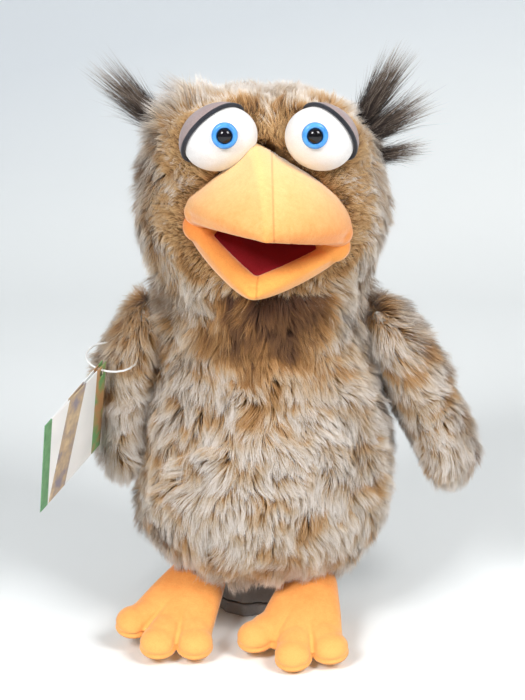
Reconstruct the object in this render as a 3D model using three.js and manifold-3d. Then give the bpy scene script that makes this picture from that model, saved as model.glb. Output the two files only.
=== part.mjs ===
// Owl hand puppet in long-pile plush, about 0.4 m tall.
// Millimetres, +Z up. The owl faces -Y, so its own left side is +X.
// The origin is on the surface it stands on, at the middle of its overall footprint.

import * as THREE from 'three';
import { mergeVertices } from 'three/addons/utils/BufferGeometryUtils.js';
import Module from 'manifold-3d';

const wasm = await Module();
wasm.setup();

// Fits between pieces
const SEAT_GAP = 0.3;
const RUNNING_GAP = 0.6;
const NECK_GAP = 1.1;
const COLLAR_GAP = 0.8;

// Plush skins, pile and backing together, as the outline of the pile shows them
const TORSO_WALL = 15;
const HEAD_WALL = 12;
const WING_WALL = 6;
const LINING_WALL = 2;
const END_WALL_SHARE = 0.8;

// Torso: height of each station, half width, reach to the front and to the back
const TORSO_RIM = { z: 50, side: 58, front: 50, back: 56 };
const TORSO_FLARE = { z: 57, side: 66, front: 59, back: 63 };
const TORSO_LOW = { z: 74, side: 78, front: 75, back: 71 };
const TORSO_BELLY = { z: 104, side: 83, front: 82, back: 76 };
const TORSO_MIDDLE = { z: 145, side: 81, front: 77, back: 72 };
const TORSO_CHEST = { z: 182, side: 75, front: 70, back: 67 };
const TORSO_SHOULDER = { z: 205, side: 68, front: 63, back: 62 };

// Locks of the pile: how deep the dips between them go, and how far seats stay clear of dips
const LOCK_DIP = 7;
const EYE_CALM = 42;
const BEAK_CALM = 62;
const TUFT_CALM = 16;
const WING_CALM = 34;
const FOOT_CALM = 26;

// Neck: three nested collars that turn, tilt and nod about one point
const NECK_HEIGHT = 231;
const NECK_BALL_RADIUS = 60;
const NECK_OUTER_HALF_HEIGHT = 17;
const NECK_OUTER_WALL = 5;
const NECK_INNER_HALF_HEIGHT = 11;
const NECK_RIM_HALF_HEIGHT = 15;
const NECK_RIM_WALL = 5;

// Hand sleeve: round at the neck, oval and set back at the floor
const SLEEVE_NECK_RADIUS = 38.5;
const SLEEVE_NECK_DROP = 11.4;
const SLEEVE_FOOT = { side: 46, front: 43, back: 32, centreY: 24 };
const SLEEVE_NARROW_HEIGHT = 170;
const HEM_HEIGHT = 9;
const HEM_WALL = 4;

// Head: the same kind of stations, closed by a flat dome
const HEAD_JOWL = { z: 257, side: 70, front: 67, back: 66 };
const HEAD_CHIN = { z: 270, side: 79, front: 75, back: 72 };
const HEAD_CHEEK = { z: 290, side: 81, front: 77, back: 73 };
const HEAD_FACE = { z: 314, side: 77, front: 76, back: 72 };
const HEAD_BROW = { z: 338, side: 73, front: 72, back: 69 };
const HEAD_CROWN = { z: 356, side: 66, front: 63, back: 61 };
const HEAD_CAP = { z: 367, side: 45, front: 43, back: 42 };
const HEAD_TOP = 371;
const HEAD_SQUARENESS = 2.25;
const HEAD_LINING_RISE = 28;
const HEAD_POCKET = { side: 44, front: 40, back: 38 };
const HEAD_POCKET_TOP = 338;

// Beak: its mouth folds about one axis, rolled a little to the owl's left
const MOUTH_AXIS = { x: 3, y: -62, z: 284 };
const BEAK_ROLL = 8;
const BEAK_TURN = 2;
const UPPER_BEAK = { length: 76, halfWidth: 50, height: 54, tilt: 5, wall: 5, back: -0.55, hollow: 0.86 };
const LOWER_BEAK = { length: 66, halfWidth: 48, depth: 27, droop: 29, wall: 5, back: 0.02, hollow: 0.8 };
const BEAK_STATIONS = 9;
const BEAK_OPENINGS = [5, 10, 15, 20];
const MOUTH_FOLD_RADIUS = 3.5;
const MOUTH_HOLE_RADIUS = 31;
const MOUTH_HOLE_HALF_LENGTH = 50;
const MOUTH_BOARD = 1.6;
const MOUTH_FELT = 1.4;
const MOUTH_FELT_SINK = 1;
const MOUTH_LIP_WIDTH = 11;
const MOUTH_BOARD_START = 4.4;

// Eyes: felt-covered domes with an iris, a pupil on a post and a washer behind
const EYE = { side: 22.5, up: 19.4, depth: 19, y: -66, z: 343.5, roll: 20 };
const EYE_SPACING = 58;
const EYE_MIDDLE_X = 5;
const EYE_SINK = 4;
const IRIS = { radius: 9.2, height: 3.4, bowl: 6.4, bowlDepth: 1.6, offsetX: 3, z: 346 };
const PUPIL = { radius: 5.9, height: 3.4 };
const POST_RADIUS = 2;
const WASHER = { radius: 9, height: 2.4, y: -49.5 };
const LID_THICKNESS = 2.6;
const LASH = { width: 3.4, thickness: 3.2 };
const RIGHT_LID_DEPTH = 5.6;
const LEFT_LID_DEPTH = 10.4;

// Ear tufts: root and tip of each lock of long hair
const TUFT_RIGHT = { root: { x: -67, y: -6, z: 344 }, tip: { x: -110, y: -6, z: 388 }, radius: 7.1 };
const TUFT_LEFT_UPPER = { root: { x: 66, y: -6, z: 348 }, tip: { x: 94, y: -4, z: 398 }, radius: 7.1 };
const TUFT_LEFT_MIDDLE = { root: { x: 70, y: -8, z: 338 }, tip: { x: 112, y: -6, z: 366 }, radius: 6.5 };
const TUFT_LEFT_LOWER = { root: { x: 72, y: -10, z: 324 }, tip: { x: 112, y: -8, z: 332 }, radius: 4.6 };
const TUFT_SINK = 3;

// Wings: stuffed flaps hinged at the shoulder, one hanging and one held out
const SHOULDER_HEIGHT = 212;
const WING_LENGTH = 124;
const WING_HALF_THICKNESS = 14.5;
const WING_HALF_WIDTH = 33;
const WING_ROOT_HALF_WIDTH = 29;
const WING_SEW_HOLE_RADIUS = 7;
const WING_STUFFING_SCALE = [0.94, 0.94, 0.985];
const WING_HANGING = 8;
const LEFT_WING_OUT = 26;

// Feet: a ball at the ankle, an instep and three toes over a flat sole
const ANKLE_BALL_RADIUS = 14;
const FOOT_WALL = 3.5;
const SOLE_DEPTH = 9;
const SOLE_DROP = 22;
const TOE = { start: -20, length: 54, halfWidth: 13.5, rise: 15, spread: 31, sideShare: 0.92 };
const INSTEP = { back: 12, front: -46, halfWidth: 26, rise: 13 };
const RIGHT_FOOT = { x: -42, y: -29, z: 43, yaw: -22, pitch: 15, roll: 9 };
const LEFT_FOOT = { x: 33, y: -36, z: 40, yaw: -12, pitch: 15, roll: 0 };

// Swing tag: a folded card on a thin loop at the right wing
const TAG = { width: 82, height: 69, leaf: 0.6, spread: 1.6, holeInset: 5.4, holeRadius: 3.2 };
const TAG_TOP_CORNER = { x: -104, y: -42, z: 194 };
const TAG_ALONG = { x: -29, y: -73, z: -21 };
const TAG_DOWN = { x: -8.6, y: 22, z: -65 };
const TAG_LOOP = { radius: 17, thread: 0.7, slack: 0.85 };

// Colours
const COLOURS = {
  plush: 0xb59b7c,
  lining: 0x4a3a34,
  filling: 0xf1eee6,
  beak: 0xf7b25c,
  foot: 0xfaa94d,
  mouth: 0x8a1b22,
  board: 0xb8a58a,
  eyeball: 0xf4f2f0,
  lid: 0xa08f92,
  lash: 0x32343a,
  iris: 0x62a8ea,
  pupil: 0x17120f,
  washer: 0xe8e8e8,
  tuft: 0x4d423d,
  card: 0xf3f5f6,
  loop: 0xe9edf0,
};

// Facets round each kind of form, and rings along it
const BODY_SIDES = 26;
const CAVITY_SIDES = 16;
const SLEEVE_SIDES = 20;
const TORSO_RINGS = 11;
const HEAD_RINGS = 12;
const COLLAR_STEPS = 4;
const WING_SIDES = 14;
const ANKLE_SIDES = 12;
const EYE_SIDES = 18;
const IRIS_SIDES = 16;
const POST_SIDES = 8;
const LOOP_SIDES = 5;
const TOE_SIDES = 10;
const SEW_HOLE_SIDES = 10;

const TIP_SHARE = 0.985;
const NICK = 0.01;

const radians = THREE.MathUtils.degToRad;
const vector = (p) => new THREE.Vector3(p.x, p.y, p.z);

// Solids from closed meshes, and meshes from solids
function solid(geometry) {
  const bare = geometry.clone();
  bare.deleteAttribute('normal');
  bare.deleteAttribute('uv');
  const merged = mergeVertices(bare, 1e-4);
  return new wasm.Manifold(new wasm.Mesh({
    numProp: 3,
    vertProperties: new Float32Array(merged.attributes.position.array),
    triVerts: new Uint32Array(merged.index.array),
  }));
}

function geometryOf(body) {
  const mesh = body.getMesh();
  const geometry = new THREE.BufferGeometry();
  geometry.setAttribute('position', new THREE.BufferAttribute(mesh.vertProperties, 3));
  geometry.setIndex(new THREE.BufferAttribute(mesh.triVerts, 1));
  return geometry;
}

function join(bodies) {
  return bodies.reduce((whole, body) => whole.add(body));
}

// Closed surface through rings that run counter-clockwise about the way they advance
function loft(rings) {
  const count = rings[0].length;
  const points = rings.flat();
  const faces = [];
  for (let level = 0; level < rings.length - 1; level += 1) {
    for (let step = 0; step < count; step += 1) {
      const next = (step + 1) % count;
      const low = level * count;
      const high = low + count;
      faces.push(low + step, low + next, high + next, low + step, high + next, high + step);
    }
  }
  const middle = (ring) => ring.reduce((sum, p) => sum.add(p), new THREE.Vector3()).divideScalar(count);
  const start = points.push(middle(rings[0])) - 1;
  const end = points.push(middle(rings[rings.length - 1])) - 1;
  const last = (rings.length - 1) * count;
  for (let step = 0; step < count; step += 1) {
    const next = (step + 1) % count;
    faces.push(start, next, step, end, last + step, last + next);
  }
  const geometry = new THREE.BufferGeometry().setFromPoints(points);
  geometry.setIndex(faces);
  return solid(geometry);
}

const power = (value, exponent) => Math.sign(value) * Math.abs(value) ** exponent;

// One level ring of a station, drawn in by an inset
function stationRing(station, inset, segments, squareness = 2) {
  const ring = [];
  for (let step = 0; step < segments; step += 1) {
    const angle = (2 * Math.PI * step) / segments;
    const x = power(Math.cos(angle), 2 / squareness);
    const y = power(Math.sin(angle), 2 / squareness);
    const depth = (y > 0 ? station.back : station.front) - inset;
    const centreY = station.centreY ?? 0;
    ring.push(new THREE.Vector3(x * (station.side - inset), centreY + y * depth, station.z));
  }
  return ring;
}

// Smooth stations through the given ones
function smoothStations(stations, count) {
  const outline = stations.map((s) => new THREE.Vector3(s.side, s.front, s.back));
  const heights = stations.map((s) => new THREE.Vector3(s.z, s.centreY ?? 0, 0));
  const outlineCurve = new THREE.CatmullRomCurve3(outline, false, 'catmullrom', 0.5);
  const heightCurve = new THREE.CatmullRomCurve3(heights, false, 'catmullrom', 0.5);
  return Array.from({ length: count }, (_, step) => {
    const size = outlineCurve.getPoint(step / (count - 1));
    const place = heightCurve.getPoint(step / (count - 1));
    return { z: place.x, centreY: place.y, side: size.x, front: size.y, back: size.z };
  });
}

// The stations again with straight ends beyond them, for cutters
function lengthened(stations, below, above) {
  const first = stations[0];
  const last = stations[stations.length - 1];
  const longer = [...stations];
  if (below > 0) longer.unshift({ ...first, z: first.z - below });
  if (above > 0) longer.push({ ...last, z: last.z + above });
  return longer;
}

function ball(centre, radius, segments = BODY_SIDES) {
  const geometry = new THREE.SphereGeometry(radius, segments, Math.round(segments * 0.5));
  geometry.rotateX(Math.PI / 2);
  geometry.translate(centre.x, centre.y, centre.z);
  return solid(geometry);
}

function block(low, high) {
  const size = [0, 1, 2].map((axis) => high[axis] - low[axis]);
  const geometry = new THREE.BoxGeometry(...size);
  geometry.translate(...[0, 1, 2].map((axis) => (high[axis] + low[axis]) / 2));
  return solid(geometry);
}

function moved(body, matrix) {
  const geometry = geometryOf(body);
  geometry.applyMatrix4(matrix);
  return solid(geometry);
}

// Places that several pieces share
const neckCentre = new THREE.Vector3(0, 0, NECK_HEIGHT);
const neckRimRadius = Math.sqrt(NECK_BALL_RADIUS ** 2 - NECK_RIM_HALF_HEIGHT ** 2);

function neckRim(z, wall) {
  const radius = neckRimRadius + wall;
  return { z, side: radius, front: radius, back: radius };
}

// Rings with dips at every other point, staggered from ring to ring, that fade out near the seats
function withLocks(rings, seats) {
  return rings.map((ring, level) => ring.map((point, step) => {
    const isEnd = level === 0 || level === rings.length - 1;
    if (isEnd || (level + step) % 2 === 0) return point;
    const clear = Math.min(...seats.map((seat) => point.distanceTo(vector(seat.at)) / seat.calm));
    const depth = LOCK_DIP * THREE.MathUtils.smoothstep(clear, 1, 1.6);
    const inward = new THREE.Vector3(-point.x, -point.y, 0).normalize();
    return point.clone().addScaledVector(inward, depth);
  }));
}

// Torso

const torsoStations = [
  TORSO_RIM, TORSO_FLARE, TORSO_LOW, TORSO_BELLY, TORSO_MIDDLE, TORSO_CHEST, TORSO_SHOULDER,
  neckRim(NECK_HEIGHT - NECK_RIM_HALF_HEIGHT, NECK_RIM_WALL),
];

function torsoRings(inset, segments) {
  return smoothStations(torsoStations, TORSO_RINGS).map((station) => stationRing(station, inset, segments));
}

const torsoForm = (inset, segments) => loft(torsoRings(inset, segments));

// The same form with its ends drawn in too, for the space inside the skin
function torsoCavity(inset) {
  const core = torsoForm(inset, CAVITY_SIDES);
  const low = TORSO_RIM.z + inset * END_WALL_SHARE;
  const high = NECK_HEIGHT - NECK_RIM_HALF_HEIGHT - inset * END_WALL_SHARE;
  return core.intersect(block([-200, -200, low], [200, 200, high]));
}

function sleeveForm(outset, below = 0, above = 0) {
  const round = SLEEVE_NECK_RADIUS + outset;
  const oval = {
    ...SLEEVE_FOOT,
    side: SLEEVE_FOOT.side + outset,
    front: SLEEVE_FOOT.front + outset,
    back: SLEEVE_FOOT.back + outset,
  };
  const stations = smoothStations([
    { ...oval, z: HEM_HEIGHT + SEAT_GAP },
    { ...oval, z: TORSO_RIM.z },
    { z: SLEEVE_NARROW_HEIGHT, side: round, front: round, back: round, centreY: 4 },
    { z: NECK_HEIGHT - SLEEVE_NECK_DROP, side: round, front: round, back: round, centreY: 0 },
  ], 7);
  return loft(lengthened(stations, below, above).map((station) => stationRing(station, 0, SLEEVE_SIDES)));
}

function torsoSkin() {
  const socket = (foot) => ball(foot, ANKLE_BALL_RADIUS + 2 * RUNNING_GAP, ANKLE_SIDES);
  const seats = [
    { at: RIGHT_FOOT, calm: FOOT_CALM }, { at: LEFT_FOOT, calm: FOOT_CALM },
    { at: { x: shoulderX, y: 0, z: SHOULDER_HEIGHT }, calm: WING_CALM },
    { at: { x: -shoulderX, y: 0, z: SHOULDER_HEIGHT }, calm: WING_CALM },
  ];
  return loft(withLocks(torsoRings(0, BODY_SIDES), seats))
    .subtract(torsoCavity(TORSO_WALL))
    .subtract(sleeveForm(SEAT_GAP, 20, 20))
    .subtract(ball(neckCentre, NECK_BALL_RADIUS + NECK_GAP))
    .subtract(socket(RIGHT_FOOT))
    .subtract(socket(LEFT_FOOT))
    .subtract(wingHollow('right'))
    .subtract(wingHollow('left'));
}

function bellyStuffing() {
  return torsoCavity(TORSO_WALL + SEAT_GAP)
    .subtract(sleeveForm(SEAT_GAP, 20, 20))
    .subtract(ball(neckCentre, NECK_BALL_RADIUS + NECK_GAP));
}

function sleeveLining() {
  return sleeveForm(0).subtract(sleeveForm(-LINING_WALL, 1, 1));
}

function hemBand() {
  const outer = { ...SLEEVE_FOOT, z: 0 };
  const rings = (inset) => [0, HEM_HEIGHT].map((z) => stationRing({ ...outer, z }, inset, SLEEVE_SIDES));
  const hole = [-1, HEM_HEIGHT + 1].map((z) => stationRing({ ...outer, z }, HEM_WALL, SLEEVE_SIDES));
  return loft(rings(0)).subtract(loft(hole));
}

// Neck

// Collar between two spheres or a sphere and a bore, revolved about the neck
function collar(outerRadius, innerRadiusAt, halfHeight) {
  const levels = Array.from({ length: COLLAR_STEPS + 1 }, (_, step) => (
    halfHeight * ((2 * step) / COLLAR_STEPS - 1)
  ));
  const outer = levels.map((z) => new THREE.Vector2(Math.sqrt(outerRadius ** 2 - z ** 2), z));
  const inner = levels.map((z) => new THREE.Vector2(innerRadiusAt(z), z)).reverse();
  const geometry = new THREE.LatheGeometry([...outer, ...inner, outer[0].clone()], BODY_SIDES);
  geometry.rotateX(Math.PI / 2);
  geometry.translate(0, 0, NECK_HEIGHT);
  return solid(geometry);
}

function neckSkin() {
  const innerRadius = NECK_BALL_RADIUS - NECK_OUTER_WALL;
  return collar(NECK_BALL_RADIUS, (z) => Math.sqrt(innerRadius ** 2 - z ** 2), NECK_OUTER_HALF_HEIGHT);
}

function neckLining() {
  const outerRadius = NECK_BALL_RADIUS - NECK_OUTER_WALL - COLLAR_GAP;
  return collar(outerRadius, () => SLEEVE_NECK_RADIUS - LINING_WALL, NECK_INNER_HALF_HEIGHT);
}

// Head

const headStations = [
  neckRim(NECK_HEIGHT + NECK_RIM_HALF_HEIGHT, NECK_RIM_WALL),
  HEAD_JOWL, HEAD_CHIN, HEAD_CHEEK, HEAD_FACE, HEAD_BROW, HEAD_CROWN, HEAD_CAP,
  { z: HEAD_TOP, side: 6, front: 6, back: 6 },
];

function headRings(inset, segments) {
  const grown = smoothStations(headStations, HEAD_RINGS).map((s) => ({
    z: Math.min(s.z, HEAD_TOP),
    side: Math.max(s.side, inset + 2),
    front: Math.max(s.front, inset + 2),
    back: Math.max(s.back, inset + 2),
  }));
  return grown.map((station) => stationRing(station, inset, segments, HEAD_SQUARENESS));
}

const headForm = (inset, segments = BODY_SIDES) => loft(headRings(inset, segments));

function headCavity(inset) {
  const low = NECK_HEIGHT + NECK_RIM_HALF_HEIGHT + inset * 0.5;
  return headForm(inset, CAVITY_SIDES).intersect(block([-200, -200, low], [200, 200, HEAD_TOP - inset]));
}

// Space for the hand: a bowl upside down, with its mouth at the neck
function handPocket(outset, below = 0) {
  const round = SLEEVE_NECK_RADIUS + outset;
  const mouth = NECK_HEIGHT + HEAD_LINING_RISE;
  const pocketRow = (z, share) => ({
    z,
    side: (HEAD_POCKET.side + outset) * share,
    front: (HEAD_POCKET.front + outset) * share,
    back: (HEAD_POCKET.back + outset) * share,
  });
  const stations = smoothStations([
    { z: mouth, side: round, front: round, back: round },
    pocketRow((mouth + HEAD_POCKET_TOP) / 2, 1),
    pocketRow(HEAD_POCKET_TOP - 18, 0.9),
    pocketRow(HEAD_POCKET_TOP - 4 + outset, 0.6),
    pocketRow(HEAD_POCKET_TOP + outset, 0.2),
  ], 8);
  return loft(lengthened(stations, below, 0).map((station) => stationRing(station, 0, SLEEVE_SIDES)));
}

// Beak, built about the mouth fold: local +X along the fold, -Y to the tip

function mouthFrame(droop) {
  const turn = new THREE.Matrix4().makeRotationZ(radians(-BEAK_TURN));
  const roll = new THREE.Matrix4().makeRotationY(radians(BEAK_ROLL));
  const pitch = new THREE.Matrix4().makeRotationX(radians(droop));
  const place = new THREE.Matrix4().makeTranslation(MOUTH_AXIS.x, MOUTH_AXIS.y, MOUTH_AXIS.z);
  return place.multiply(turn).multiply(roll).multiply(pitch);
}

const upperFrame = mouthFrame(-UPPER_BEAK.tilt);
const lowerFrame = mouthFrame(LOWER_BEAK.droop);

// Share of the full width or height that is left at a share of the length
const taper = (sharpness, bluntness) => (share) => (
  Math.max(0, 1 - Math.max(share, 0) ** sharpness) ** bluntness
);
const upperWidthAt = taper(1.7, 0.8);
const upperHeightAt = taper(2, 0.75);
const lowerWidthAt = taper(1.3, 0.86);
const lowerDepthAt = taper(1.6, 0.7);

// Shares of the length at which the beak's cross-sections stand, closer at the tip
function tipShares(back, tip) {
  return Array.from({ length: BEAK_STATIONS }, (_, step) => {
    const t = step / (BEAK_STATIONS - 1);
    return back + (tip - back) * Math.sin((t * Math.PI) / 2);
  });
}

// Flat base with an arch over it, or under it when the height is negative
function archSection(y, halfWidth, height, roundness) {
  const steps = 14;
  const ring = [];
  for (let step = 0; step <= steps; step += 1) {
    const angle = height > 0 ? (Math.PI * step) / steps : Math.PI * (1 - step / steps);
    const x = Math.cos(angle);
    const z = (1 - Math.abs(x) ** roundness) ** (1 / roundness);
    ring.push(new THREE.Vector3(x * halfWidth, y, z * height));
  }
  return ring.concat(new THREE.Vector3(0, y, 0));
}

function upperForm(inset, tip) {
  const { length, halfWidth, height, back } = UPPER_BEAK;
  return loft(tipShares(back, tip).map((share) => archSection(
    -share * length,
    Math.max(halfWidth * upperWidthAt(share) - inset, 1.2),
    Math.max(height * upperHeightAt(share) - inset, 1),
    1.6,
  )));
}

function lowerForm(inset, tip) {
  const { length, halfWidth, depth, back } = LOWER_BEAK;
  return loft(tipShares(back - (inset > 0 ? 0.2 : 0), tip).map((share) => archSection(
    -share * length,
    Math.max(halfWidth * lowerWidthAt(share) - inset, 1.2),
    -Math.max(depth * lowerDepthAt(share) - inset, 1),
    2.2,
  )));
}

const largest = (body) => body.decompose().reduce((best, one) => (one.volume() > best.volume() ? one : best));

function upperBeak() {
  const { wall, hollow } = UPPER_BEAK;
  const shell = upperForm(0, TIP_SHARE).subtract(upperForm(wall, hollow).translate([0, 0, -NICK]));
  const clear = headForm(-SEAT_GAP)
    .add(eyeDome('left', LASH.thickness + SEAT_GAP))
    .add(eyeDome('right', LASH.thickness + SEAT_GAP));
  return largest(moved(shell, upperFrame).subtract(clear));
}

// Flat piece of the mouth's outline between two levels of the beak's frame
function mouthPlate(beak, widthAt, inset, bottom, top) {
  const start = MOUTH_BOARD_START / beak.length;
  const tip = beak.hollow - inset / beak.length;
  return loft(tipShares(start, tip).map((share) => {
    const y = -share * beak.length;
    const width = Math.max(beak.halfWidth * widthAt(share) - inset, 1.5);
    return [[width, bottom], [width, top], [-width, top], [-width, bottom]]
      .map(([x, z]) => new THREE.Vector3(x, y, z));
  }));
}

// Felt flush with the upper beak's edge, and its board above it
function upperMouthPieces() {
  const inset = UPPER_BEAK.wall + 1;
  const boardBottom = MOUTH_FELT + SEAT_GAP;
  const clear = headForm(0).subtract(mouthHole(0));
  const felt = mouthPlate(UPPER_BEAK, upperWidthAt, inset, 0, MOUTH_FELT);
  const board = mouthPlate(UPPER_BEAK, upperWidthAt, inset + 1, boardBottom, boardBottom + MOUTH_BOARD);
  return {
    felt: moved(felt, upperFrame).subtract(clear),
    board: moved(board, upperFrame).subtract(clear),
  };
}

const lowerFeltTop = -MOUTH_FELT_SINK;
const lowerBoardTop = lowerFeltTop - MOUTH_FELT - SEAT_GAP;
const trayBottom = lowerBoardTop - MOUTH_BOARD - SEAT_GAP;

// Lower beak's outline, kept inside the head's opening where it lies behind the face
function lowerBlank(grow) {
  const inHole = foldRod(MOUTH_HOLE_RADIUS - RUNNING_GAP + grow, 30, 40);
  const inFront = block([-99, -99, -99], [99, grow - 16, 99]);
  return lowerForm(-grow, TIP_SHARE).intersect(inHole.add(inFront));
}

// Room that the chin gives to the lower beak as it opens
function chinHollow() {
  return join(BEAK_OPENINGS.map((angle) => (
    moved(lowerBlank(RUNNING_GAP), mouthFrame(LOWER_BEAK.droop + angle))
  )));
}

// Solid lip round a tray for the felt and board, with room for the thumb under the tray
function lowerBeak() {
  const { halfWidth, wall, hollow } = LOWER_BEAK;
  const reach = 90;
  const thumbTop = trayBottom - wall * 0.5;
  const thumb = lowerForm(wall, hollow).intersect(block([-reach, -reach, -reach], [reach, reach, thumbTop]));
  const trayInset = MOUTH_LIP_WIDTH - SEAT_GAP;
  const tray = mouthPlate(LOWER_BEAK, lowerWidthAt, trayInset, trayBottom, reach);
  const trayBack = block(
    [trayInset - halfWidth, -MOUTH_BOARD_START - 1, trayBottom],
    [halfWidth - trayInset, reach, reach],
  );
  const body = lowerBlank(0)
    .intersect(block([-reach, -reach, -reach], [reach, reach, -SEAT_GAP]))
    .subtract(thumb)
    .subtract(tray)
    .subtract(trayBack)
    .subtract(foldRod(MOUTH_FOLD_RADIUS + RUNNING_GAP, RUNNING_GAP));
  return moved(body, lowerFrame);
}

function lowerMouthPieces() {
  const plate = (bottom, top) => moved(
    mouthPlate(LOWER_BEAK, lowerWidthAt, MOUTH_LIP_WIDTH + SEAT_GAP, bottom, top), lowerFrame,
  );
  return {
    felt: plate(lowerFeltTop - MOUTH_FELT, lowerFeltTop),
    board: plate(lowerBoardTop - MOUTH_BOARD, lowerBoardTop),
  };
}

// Rod along the mouth fold, in the fold's own frame
function foldRod(radius, extra = 0, segments = 20) {
  const length = 2 * (MOUTH_HOLE_HALF_LENGTH - MOUTH_LIP_WIDTH - 4 + extra);
  const geometry = new THREE.CylinderGeometry(radius, radius, length, segments);
  geometry.rotateZ(Math.PI / 2);
  return solid(geometry);
}

// Opening in the head behind the beak
function mouthHole(grow) {
  const geometry = new THREE.CylinderGeometry(
    MOUTH_HOLE_RADIUS + grow, MOUTH_HOLE_RADIUS + grow, 2 * (MOUTH_HOLE_HALF_LENGTH + grow), 28,
  );
  geometry.rotateZ(Math.PI / 2);
  return moved(solid(geometry), mouthFrame(0));
}

// Eyes

function eyeSide(side) {
  return side === 'left' ? 1 : -1;
}

// The eye's dome, grown by a thickness; its outer end hangs lower
function eyeDome(side, grow) {
  const geometry = new THREE.SphereGeometry(1, EYE_SIDES, EYE_SIDES * 0.6);
  geometry.rotateX(Math.PI / 2);
  geometry.scale(EYE.side + grow, EYE.depth + grow, EYE.up + grow);
  geometry.rotateY(radians(EYE.roll) * eyeSide(side));
  geometry.translate(EYE_MIDDLE_X + (eyeSide(side) * EYE_SPACING) / 2, EYE.y, EYE.z);
  return solid(geometry);
}

function eyeCentre(side) {
  return new THREE.Vector3(EYE_MIDDLE_X + (eyeSide(side) * EYE_SPACING) / 2, EYE.y, EYE.z);
}

// Front of the dome at a point of the face
function domeFront(side, x, z) {
  const angle = radians(EYE.roll) * eyeSide(side);
  const local = new THREE.Vector3(x, 0, z).sub(eyeCentre(side)).setY(0)
    .applyAxisAngle(new THREE.Vector3(0, 1, 0), -angle);
  const share = 1 - (local.x / EYE.side) ** 2 - (local.z / EYE.up) ** 2;
  return EYE.y - EYE.depth * Math.sqrt(Math.max(share, 0));
}

function irisCentre(side) {
  const x = eyeCentre(side).x - eyeSide(side) * IRIS.offsetX + 1;
  return new THREE.Vector3(x, domeFront(side, x, IRIS.z), IRIS.z);
}

// Post of the eye's fitting, straight back from the iris
function post(side, radius, front, back) {
  const centre = irisCentre(side);
  const geometry = new THREE.CylinderGeometry(radius, radius, back - front, POST_SIDES);
  geometry.translate(0, (back + front) / 2, 0);
  geometry.translate(centre.x, centre.y, centre.z);
  return solid(geometry);
}

function eyeball(side) {
  return eyeDome(side, 0)
    .subtract(headForm(EYE_SINK - SEAT_GAP))
    .subtract(irisBlank(side, SEAT_GAP))
    .subtract(post(side, POST_RADIUS + SEAT_GAP, -5, 60));
}

// Outline of the iris with its shallow seat in the eyeball
function irisBlank(side, grow) {
  const centre = irisCentre(side);
  const radius = IRIS.radius + grow;
  const back = IRIS.radius * 0.25 + grow;
  const profile = [
    new THREE.Vector2(0, -back), new THREE.Vector2(radius - 0.6, -back),
    new THREE.Vector2(radius, -back + 1), new THREE.Vector2(radius, IRIS.height - 1.4 + grow),
    new THREE.Vector2(radius - 1.5, IRIS.height + grow), new THREE.Vector2(0, IRIS.height + grow),
  ];
  const geometry = new THREE.LatheGeometry(profile, IRIS_SIDES);
  geometry.rotateX(Math.PI);
  geometry.translate(centre.x, centre.y, centre.z);
  return solid(geometry);
}

function iris(side) {
  const centre = irisCentre(side);
  const bowlGeometry = new THREE.CylinderGeometry(IRIS.bowl, IRIS.bowl, 10, IRIS_SIDES);
  bowlGeometry.translate(centre.x, centre.y - IRIS.height + IRIS.bowlDepth - 5, centre.z);
  return irisBlank(side, 0)
    .subtract(solid(bowlGeometry))
    .subtract(post(side, POST_RADIUS + SEAT_GAP, -9, 30));
}

// Domed pupil in the iris's bowl, on the post that goes through the face
function pupil(side) {
  const centre = irisCentre(side);
  const seat = -IRIS.height + IRIS.bowlDepth - SEAT_GAP;
  const profile = [
    new THREE.Vector2(0, 0), new THREE.Vector2(PUPIL.radius, 0),
    new THREE.Vector2(PUPIL.radius, 0.8), new THREE.Vector2(PUPIL.radius * 0.82, PUPIL.height * 0.66),
    new THREE.Vector2(PUPIL.radius * 0.45, PUPIL.height * 0.94), new THREE.Vector2(0, PUPIL.height),
  ];
  const geometry = new THREE.LatheGeometry(profile, 16);
  geometry.rotateX(Math.PI);
  geometry.translate(centre.x, centre.y + seat, centre.z);
  const reach = WASHER.y + WASHER.height + 1 - centre.y;
  return solid(geometry).add(post(side, POST_RADIUS, seat - 0.2, reach));
}

// Washer on the back of the head's skin, from its front face backwards
function washerDisc(side, grow, height = WASHER.height) {
  const centre = irisCentre(side);
  const geometry = new THREE.CylinderGeometry(
    WASHER.radius + grow, WASHER.radius + grow, height + 2 * grow, 14,
  );
  geometry.translate(centre.x, WASHER.y + height / 2, centre.z);
  return solid(geometry);
}

function washer(side) {
  return washerDisc(side, 0).subtract(post(side, POST_RADIUS + SEAT_GAP, -5, 60));
}

// The lid's edge is a plane that cuts the dome high on its outer side
function lidPlane(side) {
  const depth = side === 'left' ? LEFT_LID_DEPTH : RIGHT_LID_DEPTH;
  const outward = side === 'left' ? 0.42 : 0.62;
  const normal = new THREE.Vector3(eyeSide(side) * outward, 0.62, 0.66).normalize();
  return { normal, depth };
}

// Half of space on one side of the lid's plane, moved along its normal
function lidHalf(side, offset, keepAbove) {
  const { normal, depth } = lidPlane(side);
  const size = 120;
  const geometry = new THREE.BoxGeometry(size, size, size);
  geometry.translate(0, 0, keepAbove ? size / 2 : -size / 2);
  const turn = new THREE.Quaternion().setFromUnitVectors(new THREE.Vector3(0, 0, 1), normal);
  geometry.applyQuaternion(turn);
  const at = eyeCentre(side).addScaledVector(normal, depth + offset);
  geometry.translate(at.x, at.y, at.z);
  return solid(geometry);
}

function eyelid(side) {
  return eyeDome(side, LID_THICKNESS)
    .subtract(eyeDome(side, SEAT_GAP))
    .intersect(lidHalf(side, LASH.width + SEAT_GAP, true))
    .subtract(headForm(EYE_SINK - SEAT_GAP));
}

function lashLine(side) {
  return eyeDome(side, LASH.thickness)
    .subtract(eyeDome(side, SEAT_GAP))
    .intersect(lidHalf(side, 0, true))
    .intersect(lidHalf(side, LASH.width, false))
    .subtract(headForm(EYE_SINK - SEAT_GAP));
}

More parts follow.
